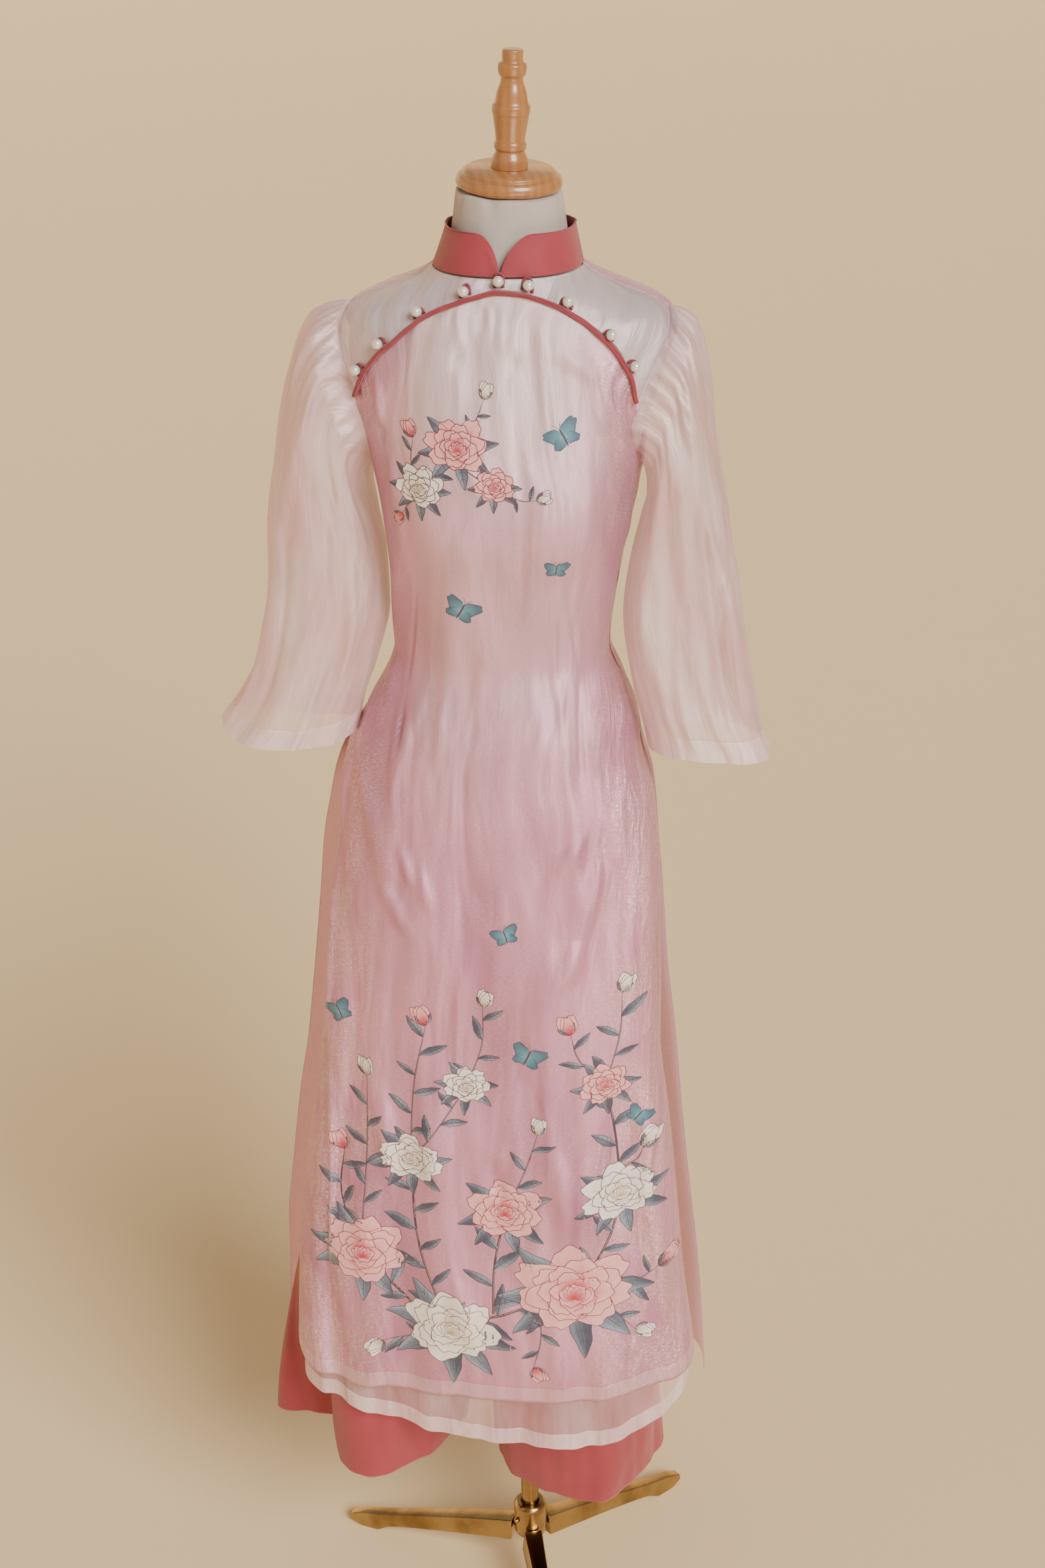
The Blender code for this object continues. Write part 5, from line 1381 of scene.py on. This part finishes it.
class AODAI_OT_stand(bpy.types.Operator):
    """Add the brass pole, hub, set screw and three cast legs"""
    bl_idname = "aodai.stand"
    bl_label = "Stand"

    def leg(self, rounding):
        """One cast leg along +X from the pole's axis, narrower on top, with rounded edges."""
        profile = Profile(STAND_LEG_COLUMNS, STAND_LEG_ROWS)
        deselect()
        bpy.ops.mesh.primitive_cube_add(size=2)
        leg = bpy.context.object
        in_edit_mode("DESELECT")
        bpy.ops.object.mode_set(mode="OBJECT")
        for edge in leg.data.edges:
            a, b = (leg.data.vertices[i].co for i in edge.vertices)
            edge.select = abs(a.x - b.x) > 1
        bpy.ops.object.mode_set(mode="EDIT")
        bpy.ops.mesh.select_mode(type="EDGE")
        bpy.ops.mesh.subdivide(number_cuts=40)
        bpy.ops.object.mode_set(mode="OBJECT")
        for vertex in leg.data.vertices:
            shape = profile.at(mix(profile.keys[0], profile.keys[-1], (vertex.co.x + 1) / 2))
            on_top = vertex.co.z > 0
            half_width = float(shape.width) / 2 * (STAND_LEG_TOP_SHARE if on_top else 1.0)
            vertex.co = Vector((float(shape.out), vertex.co.y * half_width,
                                float(shape.upper if on_top else shape.under))) * MM
        apply_modifier(leg, "BEVEL", width=rounding, segments=3, limit_method="ANGLE",
                       angle_limit=math.radians(30))
        bpy.ops.object.shade_smooth_by_angle(angle=math.radians(30))
        return leg

    def execute(self, context):
        settings = context.scene.aodai_stand
        brass = polished_brass(settings)
        low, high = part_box("pole")
        pole = turned("brass_pole", [(9.6, high[2] / MM), (10.0, high[2] / MM - 0.4),
                                     (10.0, low[2] / MM + 0.4), (9.6, low[2] / MM)], 64, 1)
        keep(pole, brass, "pole", slot="brass")
        hub = turned("brass_hub", HUB_ROWS, 96, 1)
        keep(hub, brass, "hub", slot="brass")
        screw = copy_of_solid("set_screw", "brass_set_screw", 0)
        apply_modifier(screw, "BEVEL", width=0.0004, segments=2, limit_method="ANGLE")
        keep(screw, brass, "set_screw", slot="brass")
        pattern = self.leg(settings.edge)
        for number, turn in enumerate(STAND_LEG_TURNS, start=1):
            place = Matrix.Translation(Vector(POLE_AXIS)) @ Matrix.Rotation(math.radians(turn), 4, "Z")
            leg = placed_copy(pattern, f"cast_leg_{number}", place)
            keep(leg, brass, f"stand_leg_{number}", slot="brass")
        bpy.data.objects.remove(pattern)
        return {"FINISHED"}


def closed_outline(rows, count):
    """Points evenly spaced along a smooth closed curve through the rows."""
    total = len(rows)
    around = smooth_path([rows[i % total] for i in range(-3, total + 4)], (total + 6) * 12 + 1)
    start = np.argmin(np.linalg.norm(around[:60] - np.array(rows[0]), axis=1))
    end = len(around) - 60 + np.argmin(np.linalg.norm(around[-60:] - np.array(rows[0]), axis=1))
    loop = around[start:end + 1]
    length = np.concatenate([[0], np.cumsum(np.linalg.norm(np.diff(loop, axis=0), axis=1))])
    places = np.linspace(0, length[-1], count)
    return np.stack([np.interp(places, length, loop[:, k]) for k in range(2)], axis=-1)


class AODAI_OT_trousers(bpy.types.Operator):
    """Add the two wide trouser legs and the waistband"""
    bl_idname = "aodai.trousers"
    bl_label = "Trousers"

    def leg(self, name, side, rows, hem_z, wall):
        """One wide leg: the section of the hips, blended downwards into the outline of its hem."""
        outline = closed_outline(rows, 600)
        seam = CLOTH + SEAM_GAP

        def surface(across, up):
            z = hem_z + (TROUSER_TOP_Z - hem_z) * up**1.25
            section = HIP_LEG.at(z)
            opening = math.radians(90) * np.sqrt(smooth(CROTCH_Z, CROTCH_TOP_Z, z))
            middle = section.centre + side * seam
            outer = section.right if side > 0 else section.left
            radius = np.abs(outer - middle) / (1 + np.cos(opening) ** ROUNDNESS)
            start = math.pi if side > 0 else 0.0
            angle = start + mix(opening, 2 * math.pi - opening, across)
            depth = np.where(np.sin(angle) < 0, section.front, section.back)
            x = outer - side * radius + radius * power(np.cos(angle), ROUNDNESS)
            y = depth * power(np.sin(angle), ROUNDNESS)
            share = np.clip((CROTCH_Z - z) / (CROTCH_Z - hem_z), 0, 1) ** 2.5
            places = across * (len(outline) - 1)
            x = mix(x, np.interp(places, range(len(outline)), outline[:, 0]), share)
            y = mix(y, np.interp(places, range(len(outline)), outline[:, 1]), share)
            y = y + side * (2 * across - 1) * SEAM_GAP * (np.abs(2 * across - 1) > 0.985)
            return np.stack([x, y, z], axis=-1)

        def relief(across, up, points):
            calm = smooth(0, 0.03, across) * smooth(1, 0.97, across) * smooth(0.75, 0.5, up)
            return calm * (ripples(across * 900, points[..., 2], LEG_RIPPLES) - 0.9)

        return sheet(name, 150, 120, surface, relief, lift=CLOTH, wall=wall)

    def execute(self, context):
        settings = context.scene.aodai_gown
        cloth = coral_cloth("coral_trousers", settings, 0.011)
        left = self.leg("wide_leg_left", 1, LEFT_HEM_OUTLINE, LEFT_HEM_Z, settings.coral_wall)
        keep(left, cloth, "trouser_leg_left", slot="coral", flat=(0.66, 1.10), area=0.60, held="hung",
             rests_on=["form_torso", "waistband"])
        right = self.leg("wide_leg_right", -1, RIGHT_HEM_OUTLINE, RIGHT_HEM_Z, settings.coral_wall)
        keep(right, cloth, "trouser_leg_right", slot="coral", flat=(0.66, 1.08), area=0.60, held="hung",
             rests_on=["form_torso", "waistband"])
        band = copy_of_solid("waistband", "plain_waistband", 0)
        keep(band, coral_cloth("coral_band", settings), "waistband", slot="coral")
        return {"FINISHED"}


def front_surface(across, up):
    """Front panel from its rounded hem to the yoke arc."""
    side = 2 * across - 1
    body_share = 0.91
    hem = down_at(FRONT, HEMS.at(side).front)
    down = mix(hem, ARM_LEVEL_DOWN, np.clip(up / body_share, 0, 1))
    turn = mix(-front_edge(down, -1), front_edge(down, 1), across)
    share = np.clip((up - body_share) / (1 - body_share), 0, 1)
    arc_turn = mix(ARC.keys[0], ARC.keys[-1], across)
    edge_down = mix(ARM_LEVEL_DOWN, ARC.values[-1][1], share)
    level_turn = mix(-front_edge(edge_down, -1), front_edge(edge_down, 1), across)
    cap_turn = mix(level_turn, arc_turn, share)
    cap_down = mix(ARM_LEVEL_DOWN, ARC.at(arc_turn).down, share)
    on_cap = up > body_share
    return front_point(np.where(on_cap, cap_turn, turn), np.where(on_cap, cap_down, down))


def front_relief(across, up, points):
    """Creases of the front panel: the drawn strokes, and soft uneven ripples that hang from the waist."""
    x, z = points[..., 0], points[..., 2]
    soft = hanging_ripples(x, z, FRONT_RIPPLES, 83, 37)
    soft = soft + 3.0 * smooth(1120, 900, z) * (1 + np.sin(2 * math.pi * (x / 150 + z / 430) + 0.6)
                                                 * np.cos(2 * math.pi * (x / 260 - z / 390) + 0.4)) / 2
    seam_side = np.minimum(across, 1 - across)
    pucker = 0.5 * np.sin(z / 9.0 + 3 * np.sin(z / 41)) * np.exp(-(seam_side / 0.03) ** 2)
    pucker = pucker * smooth(1130, 1200, z)
    below_arc = smooth(1.0, 0.985, up)
    return (2.0 * stroke_relief(x, z, FRONT_CREASES) + soft + pucker) * below_arc


class AODAI_OT_front(bpy.types.Operator):
    """Add the printed front panel and the sheer layer under it"""
    bl_idname = "aodai.front"
    bl_label = "Front panel"

    def execute(self, context):
        settings = context.scene.aodai_gown
        panel = sheet("shimmer_front", 134, 300, front_surface, front_relief, wall=settings.satin_wall)
        keep(panel, shimmer_satin("shimmer_satin_front", settings), "front_panel", slot="satin",
             flat=(0.56, 1.30), area=0.50, held="hung", rests_on=["form_torso", "under_layer"])

        top = float(down_at(FRONT, UNDER_LAYER_TOP_Z))

        def under_surface(across, up):
            side = 2 * across - 1
            down = mix(down_at(FRONT, HEMS.at(side).under), top, up)
            return front_point(90 * side * 0.995, np.minimum(down, FRONT.keys[-1]))

        def under_relief(across, up, points):
            covered = smooth(330, 372, points[..., 2])
            shared = stroke_relief(points[..., 0], points[..., 2], FRONT_CREASES) * covered
            wave = ripples(points[..., 0], points[..., 2], UNDER_LAYER_RIPPLES) * (1 - 0.75 * covered)
            return np.minimum(shared, 0) + wave - 0.9

        under = sheet("sheer_under_layer", 170, 44, under_surface, under_relief, lift=-1.8)
        cloth = sheer_organza("sheer_under", settings.organza, settings.organza_pale, 0.42, HEM_FOLD, 0.80)
        keep(under, cloth, "under_layer", slot="organza", flat=(0.56, 0.16), area=0.07, held="hung",
             rests_on=["front_panel"])
        return {"FINISHED"}


class AODAI_OT_print(bpy.types.Operator):
    """Print the generic garland on the skirt and the small spray on the chest"""
    bl_idname = "aodai.print"
    bl_label = "Flower print"

    def execute(self, context):
        settings = context.scene.aodai_gown
        panel = bpy.data.objects["shimmer_front"]
        tree = BVHTree.FromPolygons([vertex.co.copy() for vertex in panel.data.vertices],
                                    [tuple(polygon.vertices) for polygon in panel.data.polygons])
        ink = printed_ink(settings)
        garland = draw_spray(SKIRT_STEMS, SKIRT_BUDS, SKIRT_PEONIES, SKIRT_BUTTERFLIES, 23.0)
        keep(garland.press("skirt_garland", tree), ink, slot="satin")
        spray = draw_spray(CHEST_STEMS, CHEST_BUDS, CHEST_PEONIES, CHEST_BUTTERFLIES, 14.0)
        keep(spray.press("chest_spray", tree), ink, slot="satin")
        return {"FINISHED"}


class AODAI_OT_back(bpy.types.Operator):
    """Add the back panel"""
    bl_idname = "aodai.back"
    bl_label = "Back panel"

    def execute(self, context):
        def surface(across, up):
            side = 1 - 2 * across
            down = down_at(BACK, HEMS.at(side).back) * (1 - up)
            return back_point(180 - back_edge(down) * side, down)

        def relief(across, up, points):
            x, z = points[..., 0], points[..., 2]
            soft = hanging_ripples(x, z, BACK_RIPPLES, 79, 41)
            calm = smooth(0, 0.02, 1 - up) * mix(0.4, 1.0, smooth(1400, 1250, z))
            return (stroke_relief(x, z, BACK_CREASES) + soft) * calm

        settings = context.scene.aodai_gown
        panel = sheet("shimmer_back", 120, 230, surface, relief, wall=settings.satin_wall)
        cloth = shimmer_satin("shimmer_satin_back", settings, chest=False, sheer=0.6, gloss=0.15,
                              unlined=0.075)
        keep(panel, cloth, "back_panel", slot="satin", flat=(0.62, 1.36), area=0.56, held="hung",
             rests_on=["form_torso"])
        return {"FINISHED"}


class AODAI_OT_yoke(bpy.types.Operator):
    """Add the sheer yoke between the collar and the arc"""
    bl_idname = "aodai.yoke"
    bl_label = "Yoke"

    def execute(self, context):
        collar_share = 0.56

        def surface(across, up):
            side = 2 * across - 1
            reach = np.abs(side)
            arc_turn = mix(ARC.keys[0], ARC.keys[-1], across)
            top_turn = np.minimum(90 * reach / collar_share, 90.0)
            shoulder = mix(1.0, SHOULDER_TIP_DOWN, (reach - collar_share) / (1 - collar_share))
            top_down = np.where(reach < collar_share, 1.0, shoulder)
            turn = mix(arc_turn, np.sign(side) * top_turn, up)
            down = mix(ARC.at(arc_turn).down, top_down, up)
            arc_end = np.where(side > 0, abs(ARC.keys[-1]), abs(ARC.keys[0]))
            bow = front_edge(down, side) - mix(arc_end, 90.0, up)
            return front_point(turn + np.sign(side) * bow * reach**5, down)

        def relief(across, up, points):
            x, z = points[..., 0], points[..., 2]
            calm = smooth(0, 0.12, up) * smooth(1, 0.9, up)
            return calm * (ripples(x, z, YOKE_RIPPLES) - 0.2)

        settings = context.scene.aodai_gown
        yoke = sheet("sheer_yoke", 150, 50, surface, relief, lift=CLOTH - 0.2)
        cloth = sheer_organza("sheer_yoke_cloth", settings.yoke, settings.organza_pale, 0.66)
        keep(yoke, cloth, "yoke_front", slot="organza", flat=(0.33, 0.12), area=0.024, held="stretched",
             rests_on=["form_torso"])
        return {"FINISHED"}


def armhole_point(side, along, in_front, from_seam):
    """Armhole seam, tucked under the body's edge: 0 at the shoulder tip, 1 under the arm."""
    lift = mix(-SLEEVE_TUCK, CLOTH + SEAM_GAP, smooth(0, 5, from_seam))[..., None]
    down = mix(SHOULDER_TIP_DOWN, UNDERARM_DOWN, along)
    before = front_point(side * front_edge(down, side), down)
    behind = back_point(180 - side * back_edge(down), down)
    seam = np.where(in_front[..., None], before, behind)
    section = FRONT.at(down)
    away = unit(np.stack([seam[..., 0] - (section.left + section.right) / 2, seam[..., 1] * 0.4,
                          np.zeros_like(along)], axis=-1))
    rise = np.array([0, 0, 1.5]) * smooth(0.35, 0.0, along)[..., None]
    return seam + (away + rise) * lift


class AODAI_OT_sleeves(bpy.types.Operator):
    """Add the two sheer bell sleeves with gathered caps"""
    bl_idname = "aodai.sleeves"
    bl_label = "Sleeves"

    def sleeve(self, name, side, rows):
        """One bell sleeve: rings from the armhole seam over a gathered cap to an open hem."""
        profile = Profile(SLEEVE_COLUMNS, rows)
        length = profile.keys[-1]

        def angles(across):
            plain = 2 * math.pi * across
            return plain - 0.42 * np.sin(plain - (0 if side > 0 else math.pi))

        def surface(across, up):
            angle = angles(across)
            down = length * (1 - up) ** SLEEVE_ROW_SPACING
            ring = profile.at(down)
            outer = np.stack([ring.outer, ring.mid_y, ring.outer_z], axis=-1)
            inner = np.stack([ring.inner, ring.mid_y, ring.inner_z], axis=-1)
            low, high = (inner, outer) if side > 0 else (outer, inner)
            cos, sin = np.cos(angle), np.sin(angle)
            arm = (high - low) / 2
            place = (low + high) / 2 + arm * power(cos, ROUNDNESS)[..., None]
            place[..., 1] += ring.half_depth * power(sin, ROUNDNESS)
            outside = smooth(-0.1, 0.8, cos * side)
            around = angle if side > 0 else angle - math.pi
            gathers = GATHER_DEPTH * (1 + np.cos(GATHER_COUNT * around))
            gathers = gathers * outside * smooth(0, 22, down) * smooth(150, 40, down)
            long_folds = 4.0 * np.sin(3 * angle + 1.2 * side + down / 170) * smooth(90, 260, down)
            radial = unit(np.stack([cos * arm[..., 0], sin * ring.half_depth, cos * arm[..., 2]], axis=-1))
            calm = 1 - 0.9 * smooth(0.1, 0.7, -cos * side)
            place = place + radial * ((gathers + long_folds) * calm)[..., None]
            place[..., 2] -= SLEEVE_HEM_DROP[side] * sin**2 * smooth(length - 130, length, down)
            seam = armhole_point(side, (1 - power(cos * side, ROUNDNESS)) / 2, sin <= 0, down)
            return mix(seam, place, smooth(0, SLEEVE_SEAM_BLEND, down)[..., None])

        def relief(across, up, points):
            angle = angles(across)
            down = length * (1 - up) ** SLEEVE_ROW_SPACING
            around = np.degrees(angle if side > 0 else angle - math.pi)
            around = (around + 180) % 360 - 180
            inner_calm = 1 - 0.85 * smooth(110, 150, np.abs(around))
            free = smooth(14, 60, down)
            mirrored = around * side if side > 0 else -around
            creases = 1.5 * stroke_relief(mirrored, down, SLEEVE_CREASES)
            cap = 0.8 * np.sin(np.radians(around) * 31 + down / 30)
            cap = cap * smooth(6, 20, down) * smooth(95, 30, down)
            fine = ripples(around * 1.2, down, SLEEVE_RIPPLES)
            return (creases + fine) * free * inner_calm + cap * inner_calm

        return sheet(name, 190, 150, surface, relief, lift=CLOTH / 2, closed=True)

    def execute(self, context):
        settings = context.scene.aodai_gown
        cloth = sheer_organza("sheer_sleeve_cloth", settings.organza, settings.organza_pale, 0.60, 0.025,
                              0.84)
        for name, side, rows, node in (("bell_sleeve_left", 1, SLEEVE_LEFT_ROWS, "sleeve_left"),
                                       ("bell_sleeve_right", -1, SLEEVE_RIGHT_ROWS, "sleeve_right")):
            keep(self.sleeve(name, side, rows), cloth, node, slot="organza", flat=(0.46, 0.44), area=0.15,
                 held="hung", rests_on=["yoke_front", "back_panel"])
        return {"FINISHED"}


class AODAI_OT_collar(bpy.types.Operator):
    """Add the stand collar with its front notch"""
    bl_idname = "aodai.collar"
    bl_label = "Collar"

    def execute(self, context):
        notch_degrees = 23.0
        slant, shift = 0.15, 2.6

        def surface(across, up):
            low_edge = 0.35 + notch_degrees * (1 - np.cos(up * math.pi / 2))
            rise = np.sin(up * math.pi / 2)
            turn = mix(low_edge, 360 - low_edge, across)
            base = ring_point(FRONT.at(np.zeros_like(turn)), turn)
            narrowing = 1 - slant * rise
            return np.stack([base[..., 0] * narrowing + shift * rise, base[..., 1] * narrowing,
                             base[..., 2] + CLOTH + SEAM_GAP - 0.1 + COLLAR_HEIGHT * rise], axis=-1)

        def relief(across, up, points):
            x, z = points[..., 0], points[..., 2]
            front = points[..., 1] < 0
            ripple = 0.15 * np.sin(x / 9 + z / 14) * smooth(0, 0.2, up)
            return stroke_relief(x, z, COLLAR_CREASES) * front + ripple

        settings = context.scene.aodai_gown
        collar = sheet("stand_collar", 220, 26, surface, relief, wall=settings.collar_wall)
        apply_modifier(collar, "BEVEL", width=0.0003, segments=2, limit_method="ANGLE",
                       angle_limit=math.radians(50))
        keep(collar, coral_cloth("coral_collar", settings, 0.0025), "collar", slot="coral",
             flat=(0.44, 0.045), area=0.0145, held="stretched", rests_on=["yoke_front", "back_panel"])
        return {"FINISHED"}


class AODAI_OT_buttons(bpy.types.Operator):
    """Add the piping along the arc, the nine loops and their pearls"""
    bl_idname = "aodai.buttons"
    bl_label = "Piping and pearls"

    def loop_route(self, turn, reach, foot, lift):
        """Way of one loop's cord: up from the piping, round the pearl's seat and down again."""
        straight = reach - LOOP_RADIUS - LOOP_HALF_WIDTH
        bends = [math.pi * i / 10 for i in range(11)]
        outline = [(LOOP_HALF_WIDTH, foot)]
        outline += [(LOOP_HALF_WIDTH * math.cos(bend), straight + LOOP_HALF_WIDTH * math.sin(bend))
                    for bend in bends]
        outline.append((-LOOP_HALF_WIDTH, foot))
        return smooth_path([yoke_point(turn, sideways, beyond, lift) for sideways, beyond in outline], 44)

    def pearl(self):
        """One pearl round the origin, drilled from both poles."""
        deselect()
        bpy.ops.mesh.primitive_uv_sphere_add(segments=40, ring_count=32, radius=PEARL_RADIUS * MM)
        bead = bpy.context.object
        for vertex in bead.data.vertices:
            from_axis = math.hypot(vertex.co.x, vertex.co.y) / MM
            vertex.co.z *= 1 - HOLE_DEPTH_SHARE * math.exp(-(from_axis / HOLE_RADIUS) ** 4)
        bpy.ops.object.shade_smooth()
        return bead

    def execute(self, context):
        settings = context.scene.aodai_gown
        coral = coral_cloth("coral_cord", settings)
        nacre = pearl_coat(settings)
        turns = np.linspace(ARC.keys[0] + PIPING_INSET_TURN, ARC.keys[-1] - PIPING_INSET_TURN, 200)
        here, _, _, normal = arc_frame(turns)
        path = here + normal * (CLOTH + SEAM_GAP + PIPING_CLEARANCE + PIPING_RADIUS)
        keep(cord("arc_piping", path, PIPING_RADIUS, 4), coral, "piping", slot="coral")
        foot = PIPING_RADIUS + LOOP_RADIUS + SEAM_GAP / 2
        lift = CLOTH + SEAM_GAP + LOOP_CLEARANCE + LOOP_RADIUS
        apart = PEARL_RADIUS + LOOP_RADIUS + SEAM_GAP + PEARL_CLEARANCE
        pearl_lift = lift + math.sqrt(apart**2 - LOOP_HALF_WIDTH**2)
        pattern = self.pearl()
        for number, (turn, reach) in enumerate(BUTTON_ROWS, start=1):
            route = self.loop_route(turn, reach, foot, lift)
            keep(cord(f"satin_loop_{number}", route, LOOP_RADIUS, 3), coral, f"loop_{number}", slot="coral")
            centre = yoke_point(turn, 0.0, foot + PEARL_REACH, pearl_lift) * MM + POLE_AXIS
            lie = Matrix.Translation(Vector(centre)) @ Matrix.Rotation(math.pi / 2, 4, "Y")
            bead = placed_copy(pattern, f"pearl_button_{number}", lie)
            keep(bead, nacre, f"pearl_{number}", slot="pearl")
        bpy.data.objects.remove(pattern)
        return {"FINISHED"}


class AODAI_PT_panel(bpy.types.Panel):
    """Lists the groups of pieces"""
    bl_idname = "AODAI_PT_panel"
    bl_label = "Ao dai"
    bl_space_type = "VIEW_3D"
    bl_region_type = "UI"
    bl_category = "Ao dai"

    def draw(self, context):
        for operator in OPERATORS:
            self.layout.operator(operator.bl_idname)
        for settings in (context.scene.aodai_gown, context.scene.aodai_stand, context.scene.aodai_studio):
            for name in settings.__annotations__:
                self.layout.prop(settings, name)


OPERATORS = (AODAI_OT_studio, AODAI_OT_form, AODAI_OT_stand, AODAI_OT_trousers, AODAI_OT_front,
             AODAI_OT_print, AODAI_OT_back, AODAI_OT_yoke, AODAI_OT_sleeves, AODAI_OT_collar,
             AODAI_OT_buttons)
CLASSES = (GownSettings, StandSettings, StudioSettings, *OPERATORS, AODAI_PT_panel)


def register():
    for each in CLASSES:
        bpy.utils.register_class(each)
    bpy.types.Scene.aodai_gown = PointerProperty(type=GownSettings)
    bpy.types.Scene.aodai_stand = PointerProperty(type=StandSettings)
    bpy.types.Scene.aodai_studio = PointerProperty(type=StudioSettings)


def unregister():
    for name in ("aodai_gown", "aodai_stand", "aodai_studio"):
        delattr(bpy.types.Scene, name)
    for each in reversed(CLASSES):
        bpy.utils.unregister_class(each)


def main():
    register()
    for operator in OPERATORS:
        group, name = operator.bl_idname.split(".")
        getattr(getattr(bpy.ops, group), name)()


if __name__ == "__main__":
    main()
